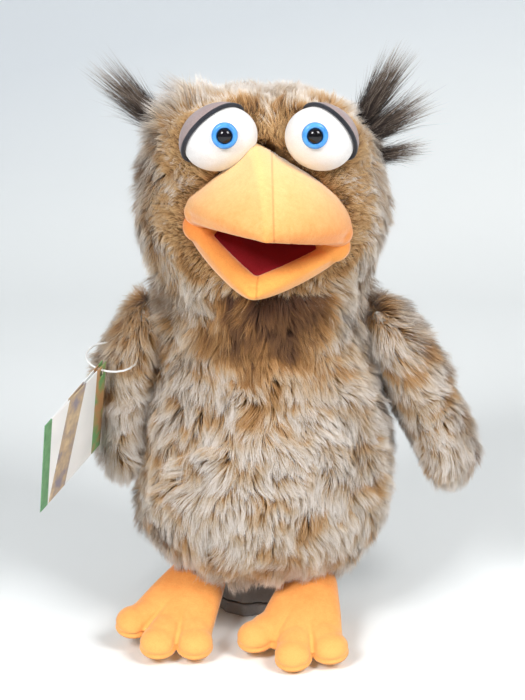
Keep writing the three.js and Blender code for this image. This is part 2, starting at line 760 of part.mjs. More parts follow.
// Pocket in the head's skin for the eye, its lid and its post
function eyePocket(side) {
  return eyeDome(side, LASH.thickness + SEAT_GAP)
    .subtract(headForm(EYE_SINK))
    .add(post(side, POST_RADIUS + SEAT_GAP, 2, 60));
}

function headSkin() {
  const eyeSeat = (side) => ({ at: { x: eyeCentre(side).x, y: EYE.y, z: EYE.z }, calm: EYE_CALM });
  const seats = [TUFT_RIGHT, TUFT_LEFT_UPPER, TUFT_LEFT_MIDDLE, TUFT_LEFT_LOWER]
    .map((tuft) => ({ at: tuft.root, calm: TUFT_CALM }))
    .concat(eyeSeat('left'), eyeSeat('right'), { at: MOUTH_AXIS, calm: BEAK_CALM });
  return loft(withLocks(headRings(0, BODY_SIDES), seats))
    .subtract(headCavity(HEAD_WALL))
    .subtract(handPocket(SEAT_GAP, 30))
    .subtract(ball(neckCentre, NECK_BALL_RADIUS + NECK_GAP))
    .subtract(mouthHole(RUNNING_GAP))
    .subtract(eyePocket('left'))
    .subtract(eyePocket('right'))
    .subtract(chinHollow())
    .subtract(washerDisc('left', SEAT_GAP, 20))
    .subtract(washerDisc('right', SEAT_GAP, 20));
}

function headStuffing() {
  const postRoom = (side) => post(side, POST_RADIUS + 2 * SEAT_GAP, 2, 60);
  return headCavity(HEAD_WALL + SEAT_GAP)
    .subtract(handPocket(SEAT_GAP, 30))
    .subtract(ball(neckCentre, NECK_BALL_RADIUS + NECK_GAP))
    .subtract(mouthHole(2 * RUNNING_GAP))
    .subtract(washerDisc('left', SEAT_GAP))
    .subtract(washerDisc('right', SEAT_GAP))
    .subtract(postRoom('left'))
    .subtract(postRoom('right'));
}

function headLining() {
  return handPocket(0)
    .subtract(handPocket(-LINING_WALL, 3))
    .subtract(mouthHole(2 * RUNNING_GAP));
}

// Ear tufts: locks of hair that swell from the root and run out to a point
function earTuft(tuft) {
  const root = vector(tuft.root);
  const tip = vector(tuft.tip);
  const along = tip.clone().sub(root);
  const length = along.length();
  const direction = along.normalize();
  const turn = new THREE.Quaternion().setFromUnitVectors(new THREE.Vector3(0, 0, 1), direction);
  const start = root.clone().addScaledVector(direction, -TUFT_SINK);
  const shares = [0, 0.2, 0.45, 0.7, 0.9, 1];
  const swell = (share) => tuft.radius * (0.62 + 1.5 * share * (1 - share) - 0.45 * share);
  const rings = shares.map((share) => {
    const radius = swell(share);
    return Array.from({ length: 10 }, (_, step) => {
      const angle = (2 * Math.PI * step) / 10;
      const x = Math.cos(angle) * radius;
      const y = Math.sin(angle) * radius;
      return new THREE.Vector3(x, y, share * (length + TUFT_SINK)).applyQuaternion(turn).add(start);
    });
  });
  return loft(rings).subtract(headForm(-SEAT_GAP));
}

// Wings, built hanging straight down from the shoulder at the origin

function wingForm(inset, openToBody = 0) {
  const rows = [
    [-0.95, 0.3, 0.55], [-0.8, 0.6, 0.85], [-0.4, 0.91, 0.97], [0, 1, 1],
  ].map(([rise, thick, wide]) => ({
    d: rise * WING_HALF_THICKNESS, thick: thick * WING_HALF_THICKNESS, wide: wide * WING_ROOT_HALF_WIDTH,
  }));
  const blade = [
    [0.3, 1, 0.96], [0.55, 1, 1], [0.8, 0.95, 0.9], [0.94, 0.74, 0.66], [1, 0.3, 0.25],
  ].map(([share, thick, wide]) => ({
    d: share * WING_LENGTH, thick: thick * WING_HALF_THICKNESS, wide: wide * WING_HALF_WIDTH,
  }));
  const stations = rows.concat(blade);
  const endShift = (index) => {
    if (index === 0) return inset;
    return index === stations.length - 1 ? -inset : 0;
  };
  const rings = stations.map((s, index) => {
    const thick = Math.max(s.thick - inset, 1);
    const wide = Math.max(s.wide - inset, 1);
    return Array.from({ length: WING_SIDES }, (_, step) => {
      const angle = (-2 * Math.PI * step) / WING_SIDES;
      return new THREE.Vector3(Math.cos(angle) * thick, Math.sin(angle) * wide, -(s.d + endShift(index)));
    });
  });
  const body = loft(rings);
  if (!openToBody) return body;
  const hole = new THREE.CylinderGeometry(WING_SEW_HOLE_RADIUS, WING_SEW_HOLE_RADIUS, 30, SEW_HOLE_SIDES);
  hole.rotateZ(Math.PI / 2);
  hole.translate(openToBody * 15, 0, -4);
  return body.add(solid(hole));
}

function torsoHalfWidthAt(z) {
  const stations = smoothStations(torsoStations, 60);
  const near = stations.reduce((best, s) => (Math.abs(s.z - z) < Math.abs(best.z - z) ? s : best));
  return near.side;
}

const shoulderX = torsoHalfWidthAt(SHOULDER_HEIGHT) + SEAT_GAP + WING_HALF_THICKNESS;

function wingFrame(side, out = side === 'left' ? LEFT_WING_OUT : WING_HANGING) {
  const turn = new THREE.Matrix4().makeRotationY(radians(-eyeSide(side) * out));
  return new THREE.Matrix4().makeTranslation(eyeSide(side) * shoulderX, 0, SHOULDER_HEIGHT).multiply(turn);
}

function wingSkin(side) {
  const hollow = wingForm(WING_WALL, -eyeSide(side));
  return moved(wingForm(0).subtract(hollow), wingFrame(side));
}

function wingStuffing(side) {
  const middle = WING_LENGTH * 0.44;
  const core = wingForm(WING_WALL).translate([0, 0, middle]).scale(WING_STUFFING_SCALE);
  return moved(core.translate([0, 0, -middle]), wingFrame(side));
}

// Hollow that a hanging wing presses into the pile of the torso
function wingHollow(side) {
  return moved(wingForm(-RUNNING_GAP), wingFrame(side, WING_HANGING));
}

// Feet, built about the ankle with the toes towards -Y

// Rounded pod along -Y with a flatter underside
function pod(length, halfWidth, rise, fall, start, inset, angle) {
  const shares = inset > 0 ? [0, 0.15, 0.5, 0.85, 1] : [0, 0.12, 0.4, 0.72, 0.9, 1];
  const rings = shares.map((share) => {
    const round = share < 0.4
      ? Math.sqrt(Math.max(0, 1 - ((0.4 - share) / 0.46) ** 2))
      : Math.sqrt(Math.max(0.02, 1 - ((share - 0.4) / 0.61) ** 2));
    const width = Math.max(halfWidth * round - inset, 1);
    const up = Math.max(rise * round - inset, 1);
    const down = Math.max(fall * round ** 0.5 - inset, 0.8);
    const sides = inset > 0 ? TOE_SIDES - 2 : TOE_SIDES;
    return Array.from({ length: sides }, (_, step) => {
      const turn = (2 * Math.PI * step) / sides;
      const z = Math.sin(turn);
      return new THREE.Vector3(
        Math.cos(turn) * width,
        -share * (length - 2 * inset) - inset,
        z > 0 ? power(z, 0.9) * up : power(z, 0.7) * down,
      );
    });
  });
  const matrix = new THREE.Matrix4().makeTranslation(0, start, SOLE_DEPTH - SOLE_DROP)
    .multiply(new THREE.Matrix4().makeRotationZ(radians(angle)));
  return moved(loft(rings), matrix);
}

function footForm(inset) {
  const toes = [-1, 0, 1].map((toe) => pod(
    TOE.length * (toe === 0 ? 1 : TOE.sideShare), TOE.halfWidth, TOE.rise, SOLE_DEPTH,
    TOE.start, inset, toe * TOE.spread,
  ));
  const instep = pod(
    INSTEP.back - INSTEP.front, INSTEP.halfWidth, INSTEP.rise, SOLE_DEPTH, INSTEP.back, inset, 0,
  );
  const ankle = ball({ x: 0, y: 0, z: 0 }, ANKLE_BALL_RADIUS - inset, ANKLE_SIDES - (inset > 0 ? 2 : 0));
  return join([ankle, instep, ...toes]);
}

const seamLevel = SOLE_DEPTH - SOLE_DROP - 3;

function footFrame(foot) {
  return new THREE.Matrix4().makeTranslation(foot.x, foot.y, foot.z)
    .multiply(new THREE.Matrix4().makeRotationZ(radians(foot.yaw)))
    .multiply(new THREE.Matrix4().makeRotationY(radians(foot.roll)))
    .multiply(new THREE.Matrix4().makeRotationX(radians(foot.pitch)));
}

const aboveSeam = () => block([-99, -99, seamLevel + SEAT_GAP / 2], [99, 99, 99]);
const belowSeam = () => block([-99, -99, -99], [99, 99, seamLevel - SEAT_GAP / 2]);

function footUpper(foot) {
  const shell = footForm(0).subtract(footForm(FOOT_WALL)).intersect(aboveSeam());
  return moved(shell, footFrame(foot));
}

function footSole(foot) {
  return moved(footForm(0).intersect(belowSeam()), footFrame(foot));
}

function footStuffing(foot) {
  const core = footForm(FOOT_WALL + SEAT_GAP).intersect(block(
    [-99, -99, seamLevel + SEAT_GAP], [99, 99, 99],
  ));
  return moved(core, footFrame(foot));
}

// Swing tag

function tagFrame() {
  const along = vector(TAG_ALONG).normalize();
  const down = vector(TAG_DOWN);
  down.addScaledVector(along, -down.dot(along)).normalize();
  const face = new THREE.Vector3().crossVectors(down, along).negate();
  const frame = new THREE.Matrix4().makeBasis(along, face, down.negate());
  const { x, y, z } = TAG_TOP_CORNER;
  return new THREE.Matrix4().makeTranslation(x, y, z).multiply(frame);
}

// Two leaves that meet in a fold at the far edge, with a punched hole near the corner
function tagCard() {
  const { width, height, leaf, spread } = TAG;
  const outline = new THREE.Shape([
    new THREE.Vector2(0, spread), new THREE.Vector2(0, spread - leaf), new THREE.Vector2(width - 1.2, 0),
    new THREE.Vector2(0, leaf - spread), new THREE.Vector2(0, -spread), new THREE.Vector2(width, -leaf * 0.4),
    new THREE.Vector2(width, leaf * 0.4),
  ].reverse());
  const geometry = new THREE.ExtrudeGeometry(outline, { depth: height, bevelEnabled: false });
  geometry.translate(0, 0, -height);
  const hole = new THREE.CylinderGeometry(TAG.holeRadius, TAG.holeRadius, 20, 12);
  hole.translate(TAG.holeInset, 0, -TAG.holeInset);
  return moved(solid(geometry).subtract(solid(hole)), tagFrame());
}

// Thread ring through the hole and round the card's edge, sewn to the wing
function tagLoop() {
  const section = Array.from({ length: LOOP_SIDES + 1 }, (_, step) => {
    const angle = (2 * Math.PI * step) / LOOP_SIDES;
    return new THREE.Vector2(
      TAG_LOOP.radius + Math.cos(angle) * TAG_LOOP.thread, Math.sin(angle) * TAG_LOOP.thread,
    );
  });
  const geometry = new THREE.LatheGeometry(section, 20);
  geometry.rotateX(Math.PI / 2);
  const rise = TAG.holeRadius - TAG_LOOP.thread - TAG_LOOP.slack;
  geometry.translate(TAG.holeInset - TAG_LOOP.radius, 0, rise - TAG.holeInset);
  const ring = moved(solid(geometry), tagFrame());
  return ring.subtract(moved(wingForm(-SEAT_GAP), wingFrame('right')));
}

// Assembly

const owl = new THREE.Group();
owl.name = 'owl_hand_puppet';

function add(name, body, colour, roughness = 0.9, metalness = 0) {
  const material = new THREE.MeshStandardMaterial({ color: colour, roughness, metalness });
  const mesh = new THREE.Mesh(geometryOf(body), material);
  mesh.name = name;
  owl.add(mesh);
}

add('torso_skin', torsoSkin(), COLOURS.plush);
add('belly_stuffing', bellyStuffing(), COLOURS.filling);
add('sleeve_lining', sleeveLining(), COLOURS.lining);
add('hem_band', hemBand(), COLOURS.lining);
add('neck_lining', neckLining(), COLOURS.lining);
add('neck_skin', neckSkin(), COLOURS.plush);
add('head_skin', headSkin(), COLOURS.plush);
add('head_stuffing', headStuffing(), COLOURS.filling);
add('head_lining', headLining(), COLOURS.lining);

const upperMouth = upperMouthPieces();
const lowerMouth = lowerMouthPieces();
add('upper_beak', upperBeak(), COLOURS.beak);
add('upper_mouth_board', upperMouth.board, COLOURS.board);
add('upper_mouth_felt', upperMouth.felt, COLOURS.mouth);
add('mouth_fold', moved(foldRod(MOUTH_FOLD_RADIUS), mouthFrame(0)), COLOURS.mouth);
add('lower_beak', lowerBeak(), COLOURS.beak);
add('lower_mouth_board', lowerMouth.board, COLOURS.board);
add('lower_mouth_felt', lowerMouth.felt, COLOURS.mouth);

for (const side of ['left', 'right']) {
  add(`eyeball_${side}`, eyeball(side), COLOURS.eyeball);
  add(`eyelid_${side}`, eyelid(side), COLOURS.lid);
  add(`lash_line_${side}`, lashLine(side), COLOURS.lash);
  add(`iris_${side}`, iris(side), COLOURS.iris, 0.25);
  add(`pupil_${side}`, pupil(side), COLOURS.pupil, 0.08);
  add(`eye_washer_${side}`, washer(side), COLOURS.washer, 0.5);
  add(`wing_skin_${side}`, wingSkin(side), COLOURS.plush);
  add(`wing_stuffing_${side}`, wingStuffing(side), COLOURS.filling);
}

add('ear_tuft_right', earTuft(TUFT_RIGHT), COLOURS.tuft);
add('ear_tuft_left_upper', earTuft(TUFT_LEFT_UPPER), COLOURS.tuft);
add('ear_tuft_left_middle', earTuft(TUFT_LEFT_MIDDLE), COLOURS.tuft);
add('ear_tuft_left_lower', earTuft(TUFT_LEFT_LOWER), COLOURS.tuft);

for (const [side, foot] of [['left', LEFT_FOOT], ['right', RIGHT_FOOT]]) {
  add(`foot_upper_${side}`, footUpper(foot), COLOURS.foot);
  add(`foot_sole_${side}`, footSole(foot), COLOURS.foot);
  add(`foot_stuffing_${side}`, footStuffing(foot), COLOURS.filling);
}

add('tag_loop', tagLoop(), COLOURS.loop, 0.4);
add('tag_card', tagCard(), COLOURS.card, 0.35);

// The origin goes to the middle of the footprint
const footprint = new THREE.Box3().setFromObject(owl);
owl.position.set(
  -(footprint.min.x + footprint.max.x) / 2,
  -(footprint.min.y + footprint.max.y) / 2,
  -footprint.min.z,
);

export default owl;
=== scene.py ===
"""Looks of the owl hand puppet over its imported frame: long pile, velour, felt, plastic, cloth and card.

Sizes are in millimetres in the part's own coordinates (the owl faces -Y, the neck is over the origin)
and become metres in the frame when a mesh is made.
"""

import math

import bpy
import numpy as np
from mathutils import Matrix, Vector, kdtree


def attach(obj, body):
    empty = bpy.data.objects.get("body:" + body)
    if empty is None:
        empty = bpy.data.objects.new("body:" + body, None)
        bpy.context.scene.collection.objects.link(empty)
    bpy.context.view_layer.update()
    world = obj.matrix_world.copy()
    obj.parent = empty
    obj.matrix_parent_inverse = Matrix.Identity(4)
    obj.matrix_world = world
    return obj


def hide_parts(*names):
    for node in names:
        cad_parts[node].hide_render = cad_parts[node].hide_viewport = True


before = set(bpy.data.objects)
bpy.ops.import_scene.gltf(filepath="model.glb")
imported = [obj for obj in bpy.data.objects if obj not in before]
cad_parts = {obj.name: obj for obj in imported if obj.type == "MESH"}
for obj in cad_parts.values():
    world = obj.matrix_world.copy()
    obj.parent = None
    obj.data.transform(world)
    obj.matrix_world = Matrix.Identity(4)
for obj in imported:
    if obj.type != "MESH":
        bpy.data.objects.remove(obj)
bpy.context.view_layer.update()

# Where the part's own coordinates lie in the frame
SHIFT = np.array([0.5866, 30.7901, 0.0])
MM = 0.001
DOWN = np.array([0.0, 0.0, -1.0])
SIDES = {"right": -1, "left": 1}

# Camera
CAMERA_DISTANCE = 966
CAMERA_HEIGHT = 449
CAMERA_PITCH = 15
CAMERA_LENS = 75.03
CAMERA_SENSOR = 36

# Cloth under the pile: height, half width, reach to the front and to the back
TORSO_HIDE = [
    (46, 54, 45, 48), (52, 62, 53, 56), (60, 70, 61, 63), (76, 78, 72, 68), (104, 81, 77, 71),
    (145, 77, 72, 67), (182, 70, 65, 62), (205, 65, 60, 59), (222, 61, 58, 57),
]
NECK_HIDE = [(216, 61.5, 58.5, 57.5), (231, 61, 59, 58), (246, 62.5, 60, 59)]
HEAD_HIDE = [
    (238, 61, 58, 57), (250, 65, 62, 61), (262, 71, 67, 66), (276, 75, 71, 68), (292, 76, 73, 69),
    (314, 73, 72, 68), (332, 68, 69, 66), (343, 60, 62, 59), (351, 48, 50, 48), (357, 32, 34, 33),
    (360, 14, 15, 14),
]
HEAD_SQUARENESS = 2.25

# Pile
TORSO_STRANDS = 175000
NECK_STRANDS = 30000
HEAD_STRANDS = 118000
FACE_STRANDS = 30000
WING_STRANDS = 46000
PIECE_STRANDS = 39000
STRAND_WIDTH = 0.25
# Middle of the dark chest: brown fur and a painted shadow under the beak
CHEST_BROWN_AND_SHADOW_MIDDLE = (3, -62, 238)
PATCH_STRETCH = (0.7, 0.7, 1.35)
CREST = (-48, -22, 352)
BROW_MIDDLE = (4, -62, 366)
FACE_MIDDLE = (3, -80, 322)
BEAK_MIDDLE = (2, -80, 300)

# Wings: distance from the shoulder, half thickness and half width of the cloth
SHOULDER = (80.1, 0.0, 212.0)
WING_OUT = {"right": 8, "left": 26}
WING_HIDE = {
    "right": [
        (-13, 2, 6), (-10, 5, 13), (-3, 9, 20), (10, 13, 26), (30, 17, 29), (55, 16, 29), (78, 13.5, 27),
        (94, 11, 23), (102, 7, 15), (105, 3, 6),
    ],
    "left": [
        (-13, 2, 6), (-10, 5, 13), (-3, 8, 19), (10, 12, 25), (37, 14.5, 28), (68, 15, 29), (94, 15, 28),
        (109, 13, 24), (117, 8.5, 15), (120, 3, 6),
    ],
}
WING_INNER = 12

# Eyes
EYE_MIDDLE_X = 5
EYE_SPACING = 58
EYE_Y = -66
EYE_Z = 342.3
EYE_SIZE = {"right": (23.4, 19, 19.4), "left": (21.8, 19, 19.4)}
EYE_SHIFT = {"right": -2.0, "left": 1.2}
EYE_ROLL = 20
EYE_BACK = 9
PAD_GAP = 0.5
IRIS_Z = 346.4
IRIS_X = {"right": -22.8, "left": 31.6}
IRIS_RADIUS = 8.0
IRIS_RISE = 3.4
BOWL_RADIUS = 4.9
PUPIL_RADIUS = 4.6
LID_THICKNESS = 2.6
LID_PLANE = {"right": ((-0.66, 0.6, 0.62), 5.6), "left": ((0.7, 0.6, 0.55), 7.6)}
LASH_WIDTH = 2.1
LASH_THICKNESS = 2.7

# Beak, about the fold of the mouth
MOUTH_AXIS = (3, -62, 284)
BEAK_TURN = 2
BEAK_ROLL = 8
UPPER_DROOP = -5
LOWER_DROOP = 29
UPPER_SIZE = (76, 52, 54)
UPPER_LEAN = -16
UPPER_TAPER = (1.7, 0.8)
UPPER_BACK = -0.5
UPPER_REACH = 1.485
UPPER_CORNER = ((41, -3, 6), (12.5, 15, 10))
LOWER_SIZE = (60, 51, 27)
LOWER_LEAN = -3.5
LOWER_TAPER = (1.12, 0.9)
LOWER_CORNER = ((41.5, -1, -3), (12, 13, 9))
LOWER_LEVEL = -3.4
LOWER_LIP_INSET = 5.9
LOWER_LIP_LEVEL = -3.8
LOWER_LIP_RADIUS = 6.5
LIP_RADIUS = 4.6
LIP_ROLL = 6.5
LIP_ROLL_HEIGHT = 11
LIP_WIDTH = 12.5
MOUTH_DENT = 17

# Outline of the beak seen from the front: height and half width
BEAK_OUTLINE = [(248, 0), (262, 34), (285, 53), (300, 52), (318, 36), (334, 17), (342, 6)]
BEAK_OUTLINE_X = 1.5
BEAK_BOTTOM = 248
BEAK_TOP = 340

# Flanks of the upper beak, as share of the half width over share of the height
RIGHT_FLANK = [
    (0, 1.0), (0.15, 1.02), (0.27, 0.94), (0.4, 0.78), (0.55, 0.59), (0.62, 0.49), (0.75, 0.33), (0.86, 0.2),
    (0.95, 0.11), (1, 0),
]
LEFT_FLANK = [
    (0, 1.0), (0.12, 1.03), (0.24, 1.03), (0.36, 0.99), (0.5, 0.9), (0.63, 0.74), (0.73, 0.57), (0.8, 0.42),
    (0.87, 0.27), (0.95, 0.14), (1, 0),
]

# Feet, about the ankle with the toes towards -Y; the wedge is place, half width, top and bottom
FEET = {
    "right": {"at": (-42, -29, 43), "yaw": -22, "pitch": 15, "roll": 9},
    "left": {"at": (33, -36, 40), "yaw": -12, "pitch": 15, "roll": 0},
}
SOLE_LEVEL = -22
FOOT_SEAM_LEVEL = -16
FOOT_WEDGE = [
    (13, 8, -1, -12), (9, 14, 4, -18), (0, 18.5, 7, -21.5), (-12, 21.5, 6, -22), (-26, 25, 3, -22),
    (-38, 27.5, 0, -22), (-47, 29, -2.5, -22), (-54, 26, -5, -22), (-59, 15, -10, -21.5),
]
TOE_ANGLES = {"right": (-31, 1, 31), "left": (-40, 0, 31)}
TOE_REACHES = (32, 36, 32)
TOE_SIZE = (12.6, 18, 9.6)
TOE_TIP = 12
TOE_TIP_SIZE = (12.3, 12.3, 9.2)
TOE_ROOT = (0, -20, -12.5)
ANKLE_SIZE = (14.5, 14.5, 13.5)
FOOT_CLOTH = 1.8

# Folds of the sleeve about its own middle line
SLEEVE_Y = 24
FOLD_DEPTH = 1.6
FOLD_TOP = 70

# Tag
TAG_CORNER = (-104, -42, 194)
TAG_ALONG = (-29, -73, -21)
TAG_DOWN = (-8.6, 22, -65)
TAG_SIZE = (82, 69)

# Locks of long hair: root, tip, radius and how many hairs
TUFTS = {
    "ear_tuft_right": ((-67, -6, 344), (-110, -6, 388), 6.5, 900),
    "ear_tuft_left_upper": ((66, -6, 348), (94, -4, 398), 6.5, 950),
    "ear_tuft_left_middle": ((70, -8, 338), (112, -6, 366), 6.0, 700),
    "ear_tuft_left_lower": ((72, -10, 324), (112, -8, 332), 4.0, 450),
}

# Backdrop in metres: a floor that curves up behind
FLOOR_FRONT = -3.0
FLOOR_BACK = 1.0
FLOOR_CURVE = 0.8
FLOOR_HALF_WIDTH = 4.0
BACKDROP_TOP = 3.2

# Lamps in metres: place, target, size and power
LAMPS = {
    "key": ((-0.9, -1.4, 1.4), (0, 0, 0.2), 0.6, 31),
    "fill": ((1.0, -1.0, 1.4), (0, 0, 0.2), 0.7, 25),
    "top": ((0.1, 0.4, 2.0), (0, 0, 0.1), 1.6, 4),
}

# Light of the world, and how bright it looks past the end of the floor
WORLD_LEVEL = 0.22
BACKDROP_LEVEL = 0.75

rng = np.random.default_rng(7)


def place(points):
    return (np.asarray(points, float) + SHIFT) * MM


def unit(v):
    return v / np.maximum(np.linalg.norm(v, axis=-1, keepdims=True), 1e-9)


def linked(name, data):
    """A new object with this data, in the scene."""
    made = bpy.data.objects.new(name, data)
    bpy.context.scene.collection.objects.link(made)
    return made


def circle(count):
    """Angles of a number of even steps round a circle."""
    return 2 * np.pi * np.arange(count) / count


def smoothstep(low, high, value):
    t = np.clip((value - low) / (high - low), 0, 1)
    return t * t * (3 - 2 * t)


def ripple(points, scale, seed, waves=7):
    """Smooth noise about 0, as a sum of waves in many directions."""
    source = np.random.default_rng(seed)
    total = np.zeros(len(points))
    for _ in range(waves):
        direction = unit(source.normal(size=3))
        length = scale * source.uniform(0.7, 1.5)
        total += np.sin(points @ direction * (2 * math.pi / length) + source.uniform(0, 6.283))
    return total / math.sqrt(waves)


# Materials


class Shader:
    """A material built node by node."""

    def __init__(self, name):
        self.material = bpy.data.materials.new(name)
        self.material.use_nodes = True
        self.tree = self.material.node_tree
        self.tree.nodes.clear()
        self.output = self.tree.nodes.new("ShaderNodeOutputMaterial")

    def add(self, kind, inputs=None, **settings):
        made = self.tree.nodes.new("ShaderNode" + kind)
        for name, value in settings.items():
            setattr(made, name, value)
        for name, value in (inputs or {}).items():
            if isinstance(value, bpy.types.NodeSocket):
                self.tree.links.new(value, made.inputs[name])
            else:
                made.inputs[name].default_value = value
        return made

    def ramp(self, value, stops):
        made = self.add("ValToRGB", {0: value})
        elements = made.color_ramp.elements
        while len(elements) < len(stops):
            elements.new(0.5)
        for element, (position, colour) in zip(elements, stops):
            element.position = position
            element.color = rgba(colour)
        return made.outputs[0]

    def mix(self, factor, first, second, blend="MIX"):
        inputs = {0: factor, 6: first, 7: second}
        return self.add("Mix", inputs, data_type="RGBA", blend_type=blend).outputs[2]

    def place(self):
        return self.add("TexCoord").outputs["Object"]

    def noise(self, scale, detail=3.0, roughness=0.5):
        inputs = {"Scale": scale, "Detail": detail, "Roughness": roughness, "Vector": self.place()}
        return self.add("TexNoise", inputs).outputs["Fac"]

    def share(self, value, low, high):
        """0 to 1 while a value goes from low to high."""
        return self.add("MapRange", {"Value": value, "From Min": low, "From Max": high}).outputs[0]

    def bump(self, height, strength, distance):
        return self.add("Bump", {"Height": height, "Strength": strength, "Distance": distance}).outputs[0]

    def measured(self, origin, direction):
        """Millimetres along a direction from a point of the part."""
        away = self.add("VectorMath", {0: self.place(), 1: tuple(place(origin))}, operation="SUBTRACT")
        inputs = {0: away.outputs[0], 1: tuple(unit(np.array(direction, float)) / MM)}
        return self.add("VectorMath", inputs, operation="DOT_PRODUCT").outputs["Value"]

    def math(self, operation, *values):
        return self.add("Math", dict(enumerate(values)), operation=operation).outputs[0]

    def surface(self, colour, roughness, **more):
        inputs = {"Base Color": colour, "Roughness": roughness}
        inputs.update({name.replace("_", " "): value for name, value in more.items()})
        made = self.add("BsdfPrincipled", inputs)
        self.tree.links.new(made.outputs[0], self.output.inputs[0])
        return self.material


def rgba(code):
    """Linear colour of a #rrggbb code."""
    values = [int(code[i:i + 2], 16) / 255 for i in (1, 3, 5)]
    return (*[v / 12.92 if v <= 0.04045 else ((v + 0.055) / 1.055) ** 2.4 for v in values], 1)


def pile_material(name, stops, fade, sheen):
    """Pile: v runs from root to tip, and u, from pale to dark locks, shortens the pale end of the ramp."""
    s = Shader(name)
    strand = s.add("SeparateXYZ", {0: s.add("UVMap", uv_map="strand").outputs[0]})
    kind = strand.outputs[0]
    reach = s.math("MULTIPLY", strand.outputs[1], s.math("SUBTRACT", 1.0, s.math("MULTIPLY", kind, fade)))
    return s.surface(s.ramp(reach, stops), 0.75, Specular_IOR_Level=0.3, Sheen_Weight=sheen,
                     Sheen_Roughness=0.5)


def cloth_material(name, dark, light, scale, sheen=0.0, roughness=0.92, bump=0.3, distance=0.0004):
    """Cloth or fibre whose colour and surface vary at one scale."""
    s = Shader(name)
    fine = s.noise(scale, 4.0, 0.6)
    broad = s.noise(scale / 22, 2.0)
    colour = s.ramp(s.mix(0.35, fine, broad), [(0.3, dark), (0.7, light)])
    normal = s.bump(fine, bump, distance)
    return s.surface(colour, roughness, Normal=normal, Specular_IOR_Level=0.2, Sheen_Weight=sheen,
                     Sheen_Roughness=0.45)


def velour_with_painted_light(name, start, end, first, second, seam=None):
    """Brushed velour that changes colour between two heights as painted light and shade, with a sewn seam
    where a plane is given.
    """
    s = Shader(name)
    height = s.measured((0, 0, start), (0, 0, 1))
    share = s.share(height, 0.0, float(end - start))
    nap = s.noise(1500, 4.0, 0.7)
    cloud = s.noise(55, 3.0, 0.6)
    painted_light_and_mottle = s.math("ADD", share, s.math("MULTIPLY", s.math("SUBTRACT", cloud, 0.5), 0.5))
    painted_light_and_mottle = s.math("ADD", painted_light_and_mottle, s.math("MULTIPLY", s.math("SUBTRACT", s.noise(330, 2.0), 0.5), 0.35))
    # Painted light and shade: the ramp along the height is lighter where the velour is lit and darker where
    # it is shaded; noise mottles it.
    colour = s.ramp(painted_light_and_mottle, [(0.0, first), (0.9, second)])
    grain = s.ramp(nap, [(0.3, "#d8d2cc"), (0.6, "#ffffff")])
    colour = s.mix(0.5, colour, grain, "MULTIPLY")
    bumps = s.math("ADD", s.math("MULTIPLY", nap, 0.5), s.noise(420, 3.0, 0.6))
    if seam:
        off = s.math("ABSOLUTE", s.measured(*seam))
        line = s.share(off, 0.25, 0.9)
        # The seam's bump is real stitching; the darker line along it is painted shade in its groove.
        colour = s.mix(0.3, colour, s.ramp(line, [(0.0, "#b8713a"), (1.0, "#ffffff")]), "MULTIPLY")
        bumps = s.math("ADD", bumps, s.math("MULTIPLY", line, 1.2))
    return s.surface(colour, 0.88, Normal=s.bump(bumps, 0.35, 0.0005), Specular_IOR_Level=0.15,
                     Sheen_Weight=0.45, Sheen_Roughness=0.4)


def plastic_material(name, dark, light, roughness):
    s = Shader(name)
    colour = s.ramp(s.noise(180, 2.0), [(0.35, dark), (0.65, light)])
    normal = s.bump(s.noise(900, 2.0), 0.03, 0.0002)
    return s.surface(colour, roughness, Normal=normal, Specular_IOR_Level=0.5)


def card_material():
    """Coated card with plain printed bands."""
    s = Shader("tag_card")
    across = s.measured(TAG_CORNER, TAG_ALONG)
    down = s.measured(TAG_CORNER, TAG_DOWN)
    white = s.ramp(s.noise(30, 2.0), [(0.3, "#e9ecec"), (0.7, "#f7f8f8")])
    smudge = s.ramp(s.noise(75, 3.0, 0.6), [(0.35, "#8d8794"), (0.5, "#b9a48a"), (0.65, "#d9c4a0")])
    slant = s.math("SUBTRACT", across, s.math("MULTIPLY", down, 0.32))
    inside = s.math("MULTIPLY", s.math("GREATER_THAN", slant, 28.0), s.math("LESS_THAN", slant, 50.0))
    colour = s.mix(inside, white, smudge)
    near_fold = s.math("GREATER_THAN", across, TAG_SIZE[0] - 9.0)
    colour = s.mix(near_fold, colour, s.ramp(s.noise(200), [(0.3, "#5c9066"), (0.7, "#72a677")]))
    edge = s.math("LESS_THAN", across, 13.0)
    patch = s.ramp(s.noise(90, 2.0), [(0.4, "#6fa368"), (0.6, "#b98e62")])
    colour = s.mix(edge, colour, patch)
    normal = s.bump(s.noise(800, 2.0), 0.05, 0.0002)
    return s.surface(colour, 0.35, Normal=normal, Specular_IOR_Level=0.5)


# Ramps from root to tip. In FROSTED and VELVETY the dark root end is the pile's own darker base and also
# painted shade down between the locks.
FROSTED = [
    (0.0, "#46342a"), (0.1, "#654531"), (0.22, "#a0713f"), (0.38, "#c79a66"), (0.54, "#d2bda1"),
    (0.74, "#e0d6cc"), (1.0, "#f2ede8"),
]
VELVETY = [(0.0, "#7f5730"), (0.35, "#ae8250"), (0.7, "#cda673"), (1.0, "#e3c89d")]
LONG_HAIR = [(0.0, "#1b1411"), (0.42, "#2d231f"), (0.6, "#5c4e44"), (0.8, "#a39384"), (1.0, "#d9cec2")]

pile = pile_material("pile", FROSTED, 0.86, 0.2)
face_pile = pile_material("face_pile", VELVETY, 0.35, 0.3)
long_hair = pile_material("long_hair", LONG_HAIR, 0.5, 0.1)
hide_cloth = cloth_material("pile_ground", "#55402e", "#82633f", 700)
# Painted light: the upper beak is lighter at its top, where the lamps fall, and darker orange at its lower
# edge.
upper_velour = velour_with_painted_light("upper_velour", 284, 330, "#ee964c", "#fbd08c",
                               ((6.5, -100, 300), (1, 0, 0.02)))
